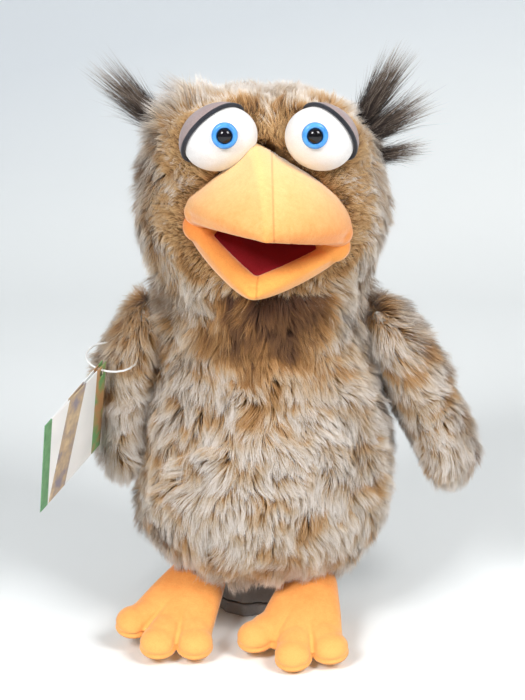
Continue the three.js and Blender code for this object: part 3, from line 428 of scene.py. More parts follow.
# Painted shade: the lower beak is darker orange near the mouth, under the upper beak, and lighter at its
# bottom.
lower_velour = velour_with_painted_light("lower_velour", 296, 250, "#e58843", "#f7ac58",
                               ((-4.9, -118, 252), (1, -0.14, 0)))
mouth_felt = cloth_material("mouth_felt", "#7a1018", "#96202a", 1400)
eye_felt = cloth_material("eye_felt", "#dcd9d7", "#f0eeed", 1600, sheen=0.3)
lid_felt = cloth_material("lid_felt", "#8d7a79", "#b0a09f", 1500, sheen=0.3)
lash_felt = cloth_material("lash_felt", "#17171b", "#3c3d45", 1600, sheen=0.3)
# The lining's grey is its own colour and also painted shadow where it shows between the feet.
lining_shadow_grey = cloth_material("lining_shadow_grey", "#767372", "#979492", 1800)
filling = cloth_material("filling", "#d9d6cf", "#f6f4ee", 500, bump=0.8, distance=0.002)
board = cloth_material("board", "#a8977c", "#c8b898", 1200, roughness=0.85)
thread = cloth_material("thread", "#dcdddc", "#f4f5f5", 2500)
iris_plastic = plastic_material("iris_plastic", "#3b87d8", "#58a2e8", 0.2)
pupil_plastic = plastic_material("pupil_plastic", "#08070a", "#131017", 0.06)
washer_plastic = plastic_material("washer_plastic", "#d4d4d2", "#e6e6e4", 0.5)
card = card_material()


# Mesh making


def mesh_object(name, points, faces, material):
    """An object from points in millimetres of the part's own coordinates."""
    mesh = bpy.data.meshes.new(name)
    mesh.from_pydata([tuple(p) for p in place(points)], [], faces)
    mesh.validate()
    mesh.materials.append(material)
    mesh.shade_smooth()
    return linked(name, mesh)


def points_of(obj):
    """The object's points in millimetres of the part's own coordinates."""
    co = np.zeros(len(obj.data.vertices) * 3)
    obj.data.vertices.foreach_get("co", co)
    return co.reshape(-1, 3) / MM - SHIFT


def set_points(obj, points):
    obj.data.vertices.foreach_set("co", place(points).ravel())
    obj.data.update()


def normals_of(obj):
    out = np.zeros(len(obj.data.vertices) * 3)
    obj.data.vertices.foreach_get("normal", out)
    return out.reshape(-1, 3)


def applied(obj):
    """Make the object's modifiers part of its mesh."""
    bpy.context.view_layer.update()
    graph = bpy.context.evaluated_depsgraph_get()
    mesh = bpy.data.meshes.new_from_object(obj.evaluated_get(graph))
    old = obj.data
    obj.modifiers.clear()
    obj.data = mesh
    bpy.data.meshes.remove(old)
    mesh.shade_smooth()


def remeshed(obj, material, voxel, rounds):
    """The object as one closed skin of small faces, smoothed a number of rounds."""
    remesh = obj.modifiers.new("remesh", "REMESH")
    remesh.mode = "VOXEL"
    remesh.voxel_size = voxel * MM
    relax = obj.modifiers.new("relax", "SMOOTH")
    relax.factor = 0.5
    relax.iterations = rounds
    applied(obj)
    obj.data.materials.clear()
    obj.data.materials.append(material)
    return obj


def soft_copy(name, nodes, material, voxel, rounds, swell=0.0):
    """One smooth closed piece that takes the place of CAD solids."""
    points, faces, start = [], [], 0
    for node in nodes:
        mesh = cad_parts[node].data
        points += [tuple(v.co) for v in mesh.vertices]
        faces += [tuple(start + i for i in f.vertices) for f in mesh.polygons]
        start = len(points)
    made = bpy.data.meshes.new(name)
    made.from_pydata(points, [], faces)
    obj = remeshed(linked(name, made), material, voxel, rounds)
    if swell:
        set_points(obj, points_of(obj) + normals_of(obj) * swell)
    return obj


def ellipsoid(centre, radii, matrix=None, rows=20, columns=28):
    """Rings of a closed ellipsoid about its own z."""
    centre, radii = np.array(centre, float), np.array(radii, float)
    rings = []
    for row in np.linspace(-1, 1, rows):
        tilt = 0.5 * math.pi * row * 0.985
        angles = circle(columns)
        ring = np.stack([np.cos(angles) * math.cos(tilt), np.sin(angles) * math.cos(tilt),
                         np.full(columns, math.sin(tilt))], axis=1) * radii + centre
        rings.append(moved(ring, matrix) if matrix is not None else ring)
    return rings


def moved(points, matrix):
    return np.asarray(points) @ matrix[:3, :3].T + matrix[:3, 3]


def unmoved(points, matrix):
    return (np.asarray(points) - matrix[:3, 3]) @ matrix[:3, :3]


def all_moved(bodies, matrix):
    return [[moved(ring, matrix) for ring in rings] for rings in bodies]


def fused(name, bodies, material, voxel, rounds):
    """One smooth skin over closed bodies that overlap; each body is a list of rings."""
    points, faces = [], []
    for rings in bodies:
        more, their = rings_mesh(rings, "both")
        faces += [tuple(len(points) + i for i in face) for face in their]
        points += [tuple(p) for p in more]
    return remeshed(mesh_object(name, points, faces, material), material, voxel, rounds)


def rings_mesh(rings, closed=True):
    """Points and quads through rings of equal length; a fan closes the last one, or both ends."""
    count = len(rings[0])
    points = [p for ring in rings for p in ring]
    faces = []
    for row in range(len(rings) - 1):
        for step in range(count):
            after = (step + 1) % count
            a = row * count
            b = a + count
            faces.append((a + step, a + after, b + after, b + step))
    if closed:
        points.append(tuple(np.mean(rings[-1], axis=0)))
        last = (len(rings) - 1) * count
        faces += [(last + step, last + (step + 1) % count, len(points) - 1) for step in range(count)]
    if closed == "both":
        points.append(tuple(np.mean(rings[0], axis=0)))
        faces += [((step + 1) % count, step, len(points) - 1) for step in range(count)]
    return points, faces


def between(stations, count):
    """Stations at even steps along a smooth line through the given ones."""
    given = np.array(stations, float)
    padded = np.vstack([2 * given[0] - given[1], given, 2 * given[-1] - given[-2]])
    made = []
    for share in np.linspace(0, len(given) - 1, count):
        i = min(int(share), len(given) - 2)
        t = share - i
        p0, p1, p2, p3 = padded[i:i + 4]
        made.append(0.5 * (2 * p1 + (p2 - p0) * t + (2 * p0 - 5 * p1 + 4 * p2 - p3) * t ** 2
                           + (3 * p1 - p0 - 3 * p2 + p3) * t ** 3))
    return made


def oval_rings(stations, count, sides, squareness=2.0):
    rings = []
    for z, side, front, back in between(stations, count):
        ring = []
        for step in range(sides):
            angle = 2 * math.pi * step / sides
            c, s = math.cos(angle), math.sin(angle)
            x = math.copysign(abs(c) ** (2 / squareness), c) * side
            y = math.copysign(abs(s) ** (2 / squareness), s) * (back if s > 0 else front)
            ring.append((x, y, z))
        rings.append(ring)
    return rings


def wing_matrix(side):
    sign = SIDES[side]
    turn = Matrix.Rotation(math.radians(-sign * WING_OUT[side]), 4, "Y")
    return np.array(Matrix.Translation((sign * SHOULDER[0], SHOULDER[1], SHOULDER[2])) @ turn)


def wing_rings(side, sides=40, count=34):
    matrix = wing_matrix(side)
    rings = []
    for d, thick, wide in between(WING_HIDE[side], count):
        angles = -circle(sides)
        out = SIDES[side] * max(thick - WING_INNER, 0)
        ring = np.stack([np.cos(angles) * thick + out, np.sin(angles) * wide, np.full(sides, -d)], axis=1)
        rings.append(moved(ring, matrix))
    return rings


# Pile

STEPS = np.array([0.0, 0.34, 0.68, 1.0])
STEP_WIDTHS = np.array([1.0, 0.95, 0.68, 0.0])
POINT_ROWS = np.array([0, 0, 1, 1, 2, 2, 3])
POINT_SIDES = np.array([-1, 1, -1, 1, -1, 1, 0])
FACE_CORNERS = np.array([0, 1, 3, 2, 2, 3, 5, 4, 4, 5, 6])
FACE_STARTS = np.array([0, 4, 8])


def scattered(obj, count, keep):
    """Random points of a mesh with their normals; keep gives the share that stays at each point."""
    mesh = obj.data
    mesh.calc_loop_triangles()
    corners = np.zeros(len(mesh.loop_triangles) * 3, int)
    mesh.loop_triangles.foreach_get("vertices", corners)
    corners = corners.reshape(-1, 3)
    points, normals = points_of(obj), normals_of(obj)
    a, b, c = (points[corners[:, k]] for k in range(3))
    area = np.linalg.norm(np.cross(b - a, c - a), axis=1)
    chosen = rng.choice(len(corners), size=count, p=area / area.sum())
    r, t = rng.random(count), rng.random(count)
    flip = r + t > 1
    r[flip], t[flip] = 1 - r[flip], 1 - t[flip]
    weights = np.stack([1 - r - t, r, t], axis=1)[:, :, None]
    found = (points[corners[chosen]] * weights).sum(1)
    facing = unit((normals[corners[chosen]] * weights).sum(1))
    stays = rng.random(count) < keep(found)
    return found[stays], facing[stays]


def tree_of(points):
    tree = kdtree.KDTree(len(points))
    for index, point in enumerate(points):
        tree.insert(point, index)
    tree.balance()
    return tree


def nearest(points, centres):
    """Index of the nearest centre to each point."""
    tree = tree_of(centres)
    return np.array([tree.find(p)[1] for p in points])


def along_surface(direction, normals):
    flat = direction - normals * (direction * normals).sum(1, keepdims=True)
    return unit(flat)


def turned(direction, normals, angle):
    return direction * np.cos(angle)[:, None] + np.cross(normals, direction) * np.sin(angle)[:, None]


def arch(root, normal, flow, length, lean, curl):
    """Points of a hair that leaves along the normal, bends over into the flow and curls to one side."""
    t = STEPS[None, :, None]
    lean = lean[:, None, None]
    out = t * (1 - 0.45 * lean) - 0.32 * lean * t ** 2
    over = lean * (0.35 * t + 0.62 * t ** 2)
    aside = curl[:, None, None] * t ** 2
    across = np.cross(normal, flow)
    shape = normal[:, None] * out + flow[:, None] * over + across[:, None] * aside
    return root[:, None] + length[:, None, None] * shape


def gathered(hairs, of_guide, guides, tightness, power):
    """Hairs drawn towards the guide hair of their lock, more so at the tip."""
    weight = tightness[:, None, None] * (STEPS ** power)[None, :, None]
    return hairs + (guides[of_guide] - hairs) * weight


def area_of(points):
    """Area that scattered points cover, from the spacing of some of them."""
    sample = points[rng.choice(len(points), size=min(400, len(points)), replace=False)]
    tree = tree_of(points)
    reach = np.mean([tree.find_n(p, 9)[-1][2] ** 2 for p in sample])
    return len(points) * math.pi * reach / 8.5


def grow_pile(name, body, roots, normals, flow, length, lean, tone, material, width=STRAND_WIDTH, lock=11.0,
              wisp=3.0, tight=0.22, wild=0.34):
    """Pile of fine tapered strands that gather into wisps and soft locks, in pieces of a bounded size."""
    count = len(roots)
    area = area_of(roots)
    picks = rng.permutation(count)
    locks = picks[:max(3, int(area / lock ** 2))]
    wisps = picks[:max(6, int(area / wisp ** 2))]
    of_lock = nearest(roots, roots[locks])
    of_wisp = nearest(roots, roots[wisps])
    lock_count = len(locks)

    swirl = 0.4 * ripple(roots, 70, 3) + wild * ripple(roots, 27, 4)
    turn = swirl + rng.normal(0, 0.16, lock_count)[of_lock] + rng.normal(0, 0.14, len(wisps))[of_wisp]
    flow = turned(flow, normals, turn)
    length = length * rng.uniform(0.9, 1.14, lock_count)[of_lock] * (1.08 - 0.45 * rng.random(count) ** 1.8)
    lean = lean + 0.15 * ripple(roots, 21, 5) + rng.normal(0, 0.08, lock_count)[of_lock]
    lean = np.clip(lean + rng.normal(0, 0.08, count), 0.05, 1.1)
    curl = rng.normal(0, 0.12, lock_count)[of_lock] + rng.normal(0, 0.08, count)
    hairs = arch(roots, normals, flow, length, lean, curl)
    wisp_guides, lock_guides = hairs[wisps], hairs[locks]
    hairs = gathered(hairs, of_wisp, wisp_guides, rng.uniform(0.2, 0.7, count), 1.2)
    hairs = gathered(hairs, of_lock, lock_guides, tight * rng.uniform(0.5, 1.15, count), 1.9)
    hairs[:, 1:] += rng.normal(0, 0.3, (count, 3, 3)) * np.array([0.4, 0.8, 1.4])[None, :, None]
    tone = tone + rng.normal(0, 0.06, lock_count)[of_lock] + rng.normal(0, 0.07, count)
    tone = np.clip(tone, 0.02, 0.97)
    order = np.argsort(np.arctan2(roots[:, 1], roots[:, 0]))
    parts = math.ceil(count / PIECE_STRANDS)
    for number, part in enumerate(np.array_split(order, parts), 1):
        label = f"{name}_{number}" if parts > 1 else name
        strand_object(label, body, hairs[part], normals[part], tone[part], material, width)


def strand_object(name, body, hairs, normals, tone, material, width):
    """A flat ribbon that tapers to a point for each line of four points, as one mesh."""
    count = len(hairs)
    tone = tone.copy()
    tone[:2] = (0.02, 0.97)
    along = np.gradient(hairs, axis=1)
    roll = rng.normal(0, 0.5, count)[:, None, None]
    facing = np.repeat(normals[:, None], len(STEPS), axis=1)
    side = unit(np.cross(along, facing))
    front = unit(np.cross(side, along))
    front *= np.where((front * facing).sum(-1, keepdims=True) < 0, -1, 1)
    side = side * np.cos(roll) + front * np.sin(roll)
    half = (0.5 * width * STEP_WIDTHS)[None, :, None] * rng.uniform(0.7, 1.3, (count, 1, 1))
    points = (hairs[:, POINT_ROWS] + side[:, POINT_ROWS] * half[:, POINT_ROWS] * POINT_SIDES[None, :, None])
    points = place(points.reshape(-1, 3)).astype(np.float32)
    each = len(POINT_ROWS)

    corners = (np.arange(count)[:, None] * each + FACE_CORNERS).ravel().astype(np.int32)
    starts = (np.arange(count)[:, None] * len(FACE_CORNERS) + FACE_STARTS).ravel().astype(np.int32)
    mesh = bpy.data.meshes.new(name)
    mesh.vertices.add(len(points))
    mesh.vertices.foreach_set("co", points.ravel())
    mesh.loops.add(len(corners))
    mesh.loops.foreach_set("vertex_index", corners)
    mesh.polygons.add(len(starts))
    mesh.polygons.foreach_set("loop_start", starts)
    mesh.update(calc_edges=True)

    u = np.repeat(tone, each) + 0.004 * np.tile(POINT_SIDES, count)
    v = np.tile(STEPS[POINT_ROWS] * 0.98 + 0.01, count)
    uv = np.stack([np.clip(u, 0, 1), v], axis=1)[corners].astype(np.float32)
    for layer in ("OFBake", "strand"):
        mesh.uv_layers.new(name=layer).data.foreach_set("uv", uv.ravel())
    shading = unit(0.8 * facing + 0.5 * front)[:, POINT_ROWS].reshape(-1, 3).astype(np.float32)
    mesh.attributes.new("custom_normal", "FLOAT_VECTOR", "POINT").data.foreach_set("vector", shading.ravel())
    mesh.materials.append(material)
    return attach(linked(name, mesh), body)


def rings_object(name, rings, material, closed="both"):
    points, faces = rings_mesh(rings, closed)
    return mesh_object(name, points, faces, material)


def make_hide(name, rings, body, node, closed):
    hide = rings_object(name, rings, hide_cloth, closed)
    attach(hide, body)
    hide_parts(node)
    return hide


def everywhere(points):
    return np.ones(len(points))


def near_point(points, centre, inner, outer):
    """1 near a point, falling to 0 at the outer distance."""
    return smoothstep(outer, inner, np.linalg.norm(points - np.array(centre, float), axis=1))


def patches(points, seed):
    """How deep the colour of the locks is: spots between 0 and 1, with broad waves added."""
    spots = smoothstep(0.1, 1.0, ripple(points * np.array(PATCH_STRETCH), 18, seed))
    return spots + 0.3 * ripple(points, 60, seed + 1)


def brown_chest_and_shadow_share(points):
    """1 on the dark chest under the beak, brown fur with a painted shadow of the beak, falling to 0 round it.
    """
    return near_point(points, CHEST_BROWN_AND_SHADOW_MIDDLE, 18, 58 + 9 * ripple(points, 30, 15))


def brown_chest_and_shadow_tone(points, chest):
    # Darker locks on the chest: its brown fur and a painted shadow under the beak.
    return chest * (0.85 + 0.22 * ripple(points, 15, 14))


def wing_clear(points):
    """Distance from the line of the nearer wing, with the way to the front or back counted less than half."""
    gap = np.full(len(points), 1e9)
    for side in SIDES:
        m = wing_matrix(side)
        axis = m[:3, :3] @ DOWN
        t = np.clip((points - m[:3, 3]) @ axis, 0, 118)
        apart = points - (m[:3, 3] + t[:, None] * axis)
        gap = np.minimum(gap, np.sqrt(apart[:, 0] ** 2 + (apart[:, 1] * 0.45) ** 2 + apart[:, 2] ** 2))
    return gap


def make_torso():
    hide = make_hide("torso_ground", oval_rings(TORSO_HIDE, 40, 72), "torso", "torso_skin", False)
    roots, normals = scattered(hide, TORSO_STRANDS, everywhere)
    flow = along_surface(DOWN + 0.3 * normals, normals)
    near = np.maximum(smoothstep(9, 26, wing_clear(roots)), smoothstep(196, 210, roots[:, 2]))
    length = (22 + 2.5 * ripple(roots, 60, 11)) * (0.42 + 0.58 * near)
    rim = smoothstep(66, 48, roots[:, 2])
    chest = brown_chest_and_shadow_share(roots)
    lean = 0.66 + 0.08 * ripple(roots, 45, 12) - 0.08 * rim + 0.1 * chest
    tone = 0.04 + 0.42 * patches(roots, 13) + 0.2 * smoothstep(170, 210, roots[:, 2])
    tone += brown_chest_and_shadow_tone(roots, chest)
    tone += 0.1 * smoothstep(-52, -74, roots[:, 0])
    grow_pile("torso_pile", "torso", roots, normals, flow, length, lean, tone, pile)


def make_neck():
    hide = make_hide("neck_ground", oval_rings(NECK_HIDE, 8, 72), "neck_upper", "neck_skin", False)
    roots, normals = scattered(hide, NECK_STRANDS, everywhere)
    flow = along_surface(np.tile(DOWN, (len(roots), 1)), normals)
    length = 27 + 3 * ripple(roots, 40, 21)
    chest = brown_chest_and_shadow_share(roots)
    lean = 0.58 + 0.1 * ripple(roots, 40, 22) + 0.1 * chest - 0.14 * smoothstep(40, 56, np.abs(roots[:, 0]))
    tone = 0.12 + 0.32 * patches(roots, 23) + brown_chest_and_shadow_tone(roots, chest)
    grow_pile("neck_pile", "neck_upper", roots, normals, flow, length, lean, tone, pile)


def beak_gap(points):
    """Millimetres to the side of the beak seen from the front, or above or below it."""
    x = points[:, 0] - BEAK_OUTLINE_X
    z = points[:, 2]
    level = np.abs(x) - np.interp(z, *np.transpose(BEAK_OUTLINE))
    past = np.maximum(z - BEAK_TOP, BEAK_BOTTOM - z)
    gap = np.where(past < 0, level, np.hypot(np.maximum(np.abs(x) - 5, 0), past))
    return np.where(points[:, 1] < -20, gap, 1e3)


def eye_share(points, side):
    """Distance from the middle of an eye seen from the front, 1 at its outline."""
    local = unmoved(points, eye_matrix(side))
    return np.hypot(local[:, 0] / EYE_SIZE[side][0], local[:, 2] / EYE_SIZE[side][2])


def eye_gap(points):
    """About how many millimetres a point lies outside the outlines of the eyes, or behind their backs."""
    behind = points[:, 1] - (EYE_Y + EYE_BACK + 4)
    gap = np.full(len(points), 1e3)
    for side in SIDES:
        gap = np.minimum(gap, np.maximum((eye_share(points, side) - 1) * 20, behind))
    return gap


def face_gap(points):
    return np.minimum(beak_gap(points), eye_gap(points))


def eye_pads(points):
    """Cloth swollen forward behind each eye, so that the eye rests on it."""
    back = EYE_Y + EYE_BACK + PAD_GAP
    for side in SIDES:
        rise = smoothstep(1.6, 1.0, eye_share(points, side)) * (points[:, 1] < 0)
        points[:, 1] += rise * np.minimum(0, back - points[:, 1])
    return points


def make_head():
    rings = oval_rings(HEAD_HIDE, 46, 76, HEAD_SQUARENESS)
    hide = make_hide("head_ground", rings, "head", "head_skin", True)

    points = eye_pads(points_of(hide))
    points[:, 1] += MOUTH_DENT * smoothstep(-2, -12, beak_gap(points))
    set_points(hide, points)

    def outside_face(p):
        return smoothstep(1, 13, face_gap(p) + 7 * smoothstep(350, 360, p[:, 2]))

    roots, normals = scattered(hide, HEAD_STRANDS, outside_face)
    from_face = roots - np.array(FACE_MIDDLE)
    outward = unit(from_face)
    near_face = np.exp(-np.linalg.norm(from_face, axis=1) / 50)[:, None]
    flow = outward * near_face * 1.3 + DOWN * (1 - near_face)
    crown = smoothstep(330, 356, roots[:, 2])
    rising = np.stack([roots[:, 0] / 90, np.full(len(roots), 0.35), np.full(len(roots), 0.8)], axis=1)
    flow = flow * (1 - crown[:, None]) + crown[:, None] * rising
    flow = along_surface(flow, normals)
    gap = face_gap(roots)
    brow = near_point(roots, BROW_MIDDLE, 14, 40)
    away = np.maximum(smoothstep(2, 36, gap), 0.75 * brow)
    crest = near_point(roots, CREST, 8, 26)
    length = 8 + 13 * away + 2 * ripple(roots, 50, 31) * away
    length *= 1 - 0.1 * crown
    length += 17 * crest
    lean = 0.66 + 0.08 * ripple(roots, 40, 32) - 0.12 * crown - 0.26 * crest
    tone = 0.02 + 0.36 * patches(roots, 33) + 0.22 * (1 - away) + 0.08 * smoothstep(-30, -64, roots[:, 0])
    tone += 0.1 * smoothstep(280, 255, roots[:, 2]) + 0.04 * brow
    grow_pile("head_pile", "head", roots, normals, flow, length, lean, tone, pile)

    def on_face(p):
        gap = face_gap(p)
        brow = smoothstep(352, 360, p[:, 2])
        return np.where(gap < -4, 0.0, smoothstep(19, 7, gap)) * (1 - 0.75 * brow)

    roots, normals = scattered(hide, FACE_STRANDS * 5, on_face)
    roots, normals = roots[:FACE_STRANDS], normals[:FACE_STRANDS]
    from_beak = roots - np.array(BEAK_MIDDLE)
    flow = along_surface(unit(from_beak), normals)
    gap = face_gap(roots)
    length = 6.5 + 4 * smoothstep(4, 16, gap)
    lean = 0.5 + 0.12 * ripple(roots, 30, 35)
    tone = 0.4 + 0.2 * ripple(roots, 20, 36)
    grow_pile("face_pile", "head", roots, normals, flow, length, lean, tone, face_pile, width=0.24, lock=8,
              wisp=2.2, tight=0.25, wild=0.25)


def make_wing(side):
    wing = f"wing_{side}"
    hide = make_hide(f"wing_ground_{side}", wing_rings(side), wing, f"wing_skin_{side}", "both")
    roots, normals = scattered(hide, WING_STRANDS, everywhere)
    sign = SIDES[side]
    matrix = wing_matrix(side)
    to_tip = matrix[:3, :3] @ DOWN
    flow = along_surface(to_tip + 0.3 * DOWN + 0.25 * normals, normals)
    down = -unmoved(roots, matrix)[:, 2]
    inner = smoothstep(0.2, 0.9, -normals[:, 0] * sign) * smoothstep(8, 30, down)
    length = (22 + 2.5 * ripple(roots, 45, 41)) * (1 - 0.4 * inner)
    end = smoothstep(92, 118, down)
    lean = 0.64 + 0.08 * ripple(roots, 40, 42) - 0.04 * end
    tone = 0.03 + 0.42 * patches(roots, 43) + 0.26 * smoothstep(44, 0, down)
    grow_pile(f"wing_pile_{side}", wing, roots, normals, flow, length, lean, tone, pile)


def make_tuft(name, root, tip, radius, count):
    root, tip = np.array(root, float), np.array(tip, float)
    axis = unit(tip - root)
    reach = np.linalg.norm(tip - root)
    side = unit(np.cross(axis, [0, 1.0, 0]))
    other = np.cross(axis, side)
    angle = rng.uniform(0, 2 * np.pi, count)
    share = np.sqrt(rng.random(count))
    spread = np.cos(angle)[:, None] * side + np.sin(angle)[:, None] * other
    starts = root - axis * 9 + spread * (0.9 * radius * share)[:, None]
    length = (reach + 9) * np.clip(rng.beta(3.0, 2.4, count) * 1.15, 0.3, 1.0)
    t = STEPS[None, :, None]
    fan = (share * rng.uniform(0.2, 1.6, count) * radius * 1.25)[:, None, None]
    stray = rng.normal(0, 2.4, (count, 1, 3)) * np.where(rng.random(count) < 0.06, 2.4, 1)[:, None, None]
    hairs = starts[:, None] + axis * (length[:, None, None] * t) + spread[:, None] * fan * t ** 1.3
    hairs = hairs + stray * t ** 2.2
    hairs = hairs + DOWN * 5.0 * (t ** 2.4) * rng.random((count, 1, 1)) * share[:, None, None]
    tone = np.clip(0.75 - 0.55 * share + rng.normal(0, 0.12, count), 0.02, 0.97)
    made = strand_object(name + "_hair", "head", hairs, spread, tone, long_hair, 0.3)
    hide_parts(name)


# Eyes


def eye_matrix(side):
    """From the eye's own axes, with y through its middle, to the part's."""
    sign = SIDES[side]
    turn = Matrix.Rotation(math.radians(EYE_ROLL) * sign, 4, "Y")
    centre = (EYE_MIDDLE_X + sign * EYE_SPACING / 2 + EYE_SHIFT[side], EYE_Y, EYE_Z)
    return np.array(Matrix.Translation(centre) @ turn)


def finished(obj, body, nodes):
    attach(obj, body)
    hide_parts(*nodes)
    return obj


def eye_piece(slot, side, node, rings, material, closed="both"):
    """A felt piece through rings, pressed flat at the back of the eye."""
    points, faces = rings_mesh(rings, closed)
    points = np.array(points)
    points[:, 1] = np.minimum(points[:, 1], EYE_Y + EYE_BACK)
    obj = mesh_object(f"{slot}_{side}", points, faces, material)
    finished(obj, "head", [f"{node}_{side}"])


def make_eyeball(side):
    rings = ellipsoid((0, 0, 0), EYE_SIZE[side], eye_matrix(side), 48, 64)
    eye_piece("eye_felt", side, "eyeball", rings, eye_felt)


def dome_cap(side, start, width, inner, outer, rows=14, columns=96):
    """Closed shell over the eye beyond a plane, or a band of it when a width is given."""
    matrix = eye_matrix(side)
    normal, depth = LID_PLANE[side]
    normal = unit(np.array(normal, float))
    middle = matrix[:3, 3]

    def row(grow, distance):
        size = np.array(EYE_SIZE[side]) + grow
        pull = size * (matrix[:3, :3].T @ normal)
        reach = np.linalg.norm(pull)
        pole = pull / reach
        aside = unit(np.cross(pole, [0, 0, 1.0]))
        across = np.cross(pole, aside)
        c = min(distance / reach, 0.998)
        s = math.sqrt(1 - c * c)
        angles = circle(columns)
        ring = c * pole + s * (np.cos(angles)[:, None] * aside + np.sin(angles)[:, None] * across)
        return (ring * size) @ matrix[:3, :3].T + middle

    last = depth + start + width if width else max(EYE_SIZE[side]) * 1.2
    steps = depth + start + (last - depth - start) * np.linspace(0, 1, rows) ** 0.8
    edge = depth + start
    rings = [row(inner, d) for d in steps[::-1]]
    rings.append(row(0.5 * (inner + outer), edge - 0.35))
    rings += [row(outer - 0.35, edge + 0.15)]
    rings += [row(outer, d) for d in steps[1:] + 0.3 * (not width)]
    if width:
        rings.append(row(0.5 * (inner + outer), last + 0.25))
    return rings


def make_lid(side):
    eye_piece("lid_felt", side, "eyelid", dome_cap(side, LASH_WIDTH + 0.2, 0, 0.2, LID_THICKNESS), lid_felt)
    rings = dome_cap(side, 0, LASH_WIDTH, 0.1, LASH_THICKNESS, rows=5)
    eye_piece("lash_felt", side, "lash_line", rings + [rings[0]], lash_felt, False)


def lathe(profile, centre, columns=56):
    """Rings about a line towards -Y through a centre, by radius and rise to the front."""
    angles = circle(columns)
    return [np.stack([np.cos(angles) * r + centre[0], np.full(columns, centre[1] - rise),
                      np.sin(angles) * r + centre[2]], axis=1) for r, rise in profile]


def make_iris(side):
    local = unmoved([[IRIS_X[side], EYE_Y, IRIS_Z]], eye_matrix(side))[0]
    wide, deep, high = EYE_SIZE[side]
    share = 1 - (local[0] / wide) ** 2 - (local[2] / high) ** 2
    centre = (IRIS_X[side], EYE_Y - deep * math.sqrt(share), IRIS_Z)
    r, rise, bowl = IRIS_RADIUS, IRIS_RISE, BOWL_RADIUS
    outline = [
        (0.3, -2.2), (r - 0.8, -2.2), (r - 0.1, -1.6), (r, -0.6), (r, rise - 1.9), (r - 0.25, rise - 1.0),
        (r - 0.8, rise - 0.35), (r - 1.5, rise - 0.05), (bowl + 0.5, rise), (bowl + 0.1, rise - 0.25),
        (bowl, rise - 0.7), (bowl - 0.1, rise - 1.5), (0.3, rise - 1.6),
    ]
    ring = rings_object(f"iris_ring_{side}", lathe(outline, centre), iris_plastic)
    finished(ring, "head", [f"iris_{side}"])
    base = rise - 1.5
    dome = [(0.3, base), (PUPIL_RADIUS, base)]
    dome += [(PUPIL_RADIUS * math.cos(a), base + 0.5 + 2.9 * math.sin(a)) for a in np.linspace(0, 1.5, 12)]
    pupil = rings_object(f"pupil_dome_{side}", lathe(dome, centre), pupil_plastic)
    finished(pupil, "head", [f"pupil_{side}"])


# Beak


def mouth_matrix(droop):
    turn = Matrix.Rotation(math.radians(-BEAK_TURN), 4, "Z")
    roll = Matrix.Rotation(math.radians(BEAK_ROLL), 4, "Y")
    pitch = Matrix.Rotation(math.radians(droop), 4, "X")
    return np.array(Matrix.Translation(MOUTH_AXIS) @ turn @ roll @ pitch)


def taper(share, sharpness, bluntness):
    return np.maximum(0, 1 - np.maximum(share, 0) ** sharpness) ** bluntness


def upper_rings():
    """Arches of the upper beak from its back, inside the head, to its tip; the right flank is hollower."""
    length, half, height = UPPER_SIZE
    rise = np.sin(np.linspace(0, math.pi / 2, 24))
    flanks = [np.interp(rise, *np.transpose(flank)) for flank in (LEFT_FLANK, RIGHT_FLANK)]
    rings = []
    for share in UPPER_BACK + UPPER_REACH * np.sin(np.linspace(0, math.pi / 2, 30)):
        wide = max(half * taper(share, *UPPER_TAPER), 1.2)
        high = max(height * taper(share, 2.0, 0.75), 1.0)
        roll = min(LIP_ROLL, 0.5 * wide) * np.maximum(0, 1 - rise * high / LIP_ROLL_HEIGHT) ** 2
        lean = UPPER_LEAN * rise ** 1.5 * taper(share, 1.5, 1.0)
        left = flanks[0] * wide - roll + lean
        right = -flanks[1] * wide + roll + lean
        under = np.linspace(right[0], left[0], 20)[1:-1]
        x = np.concatenate([left, right[::-1][1:], under])
        z = np.concatenate([rise, rise[::-1][1:], np.zeros(len(under))]) * high
        rings.append(np.stack([x, np.full(len(x), -share * length), z], axis=1))
    return rings


def lip_path(size, sharpness, bluntness, inset, level, rows=60):
    """Line along the edge of a beak half from one corner round the tip to the other."""
    share = np.sin(np.linspace(0, math.pi / 2, rows)) * 0.985
    x = np.maximum(size[1] * taper(share, sharpness, bluntness) - inset, 0)
    y = -share * size[0] + inset * share
    right = np.stack([x, y, np.full(rows, level)], axis=1)
    left = right[::-1] * [-1, 1, 1]
    return np.vstack([right, left[1:]])


def tube(path, radius_at, flat=1.0, columns=16):
    """Rings of a closed tube along a level path; flat scales its height."""
    path = np.asarray(path, float)
    along = unit(np.gradient(path, axis=0))
    side = unit(np.cross(along, [0, 0, 1.0]))
    up = np.cross(side, along)
    angles = circle(columns)
    rings = []
    for p, s, u, r in zip(path, side, up, radius_at(np.linspace(0, 1, len(path)))):
        rings.append(p + r * (np.cos(angles)[:, None] * s + flat * np.sin(angles)[:, None] * u))
    return rings


def beak_corners(corner):
    """Rounded lips where the two halves of the beak meet at either side."""
    (x, y, z), radii = corner
    return [ellipsoid((sign * x, y, z), radii) for sign in (-1, 1)]


def make_upper_beak():
    matrix = mouth_matrix(UPPER_DROOP)
    outer = upper_rings()
    path = lip_path(UPPER_SIZE, *UPPER_TAPER, LIP_RADIUS + 1.6, LIP_RADIUS - 1.2)
    bodies = [outer, tube(path, lambda t: LIP_RADIUS * (0.9 + 0.25 * np.abs(2 * t - 1) ** 3), 0.9)]
    bodies = all_moved(bodies + beak_corners(UPPER_CORNER), matrix)
    obj = fused("upper_beak_cloth", bodies, upper_velour, 1.2, 10)
    finished(obj, "head", ["upper_beak"])


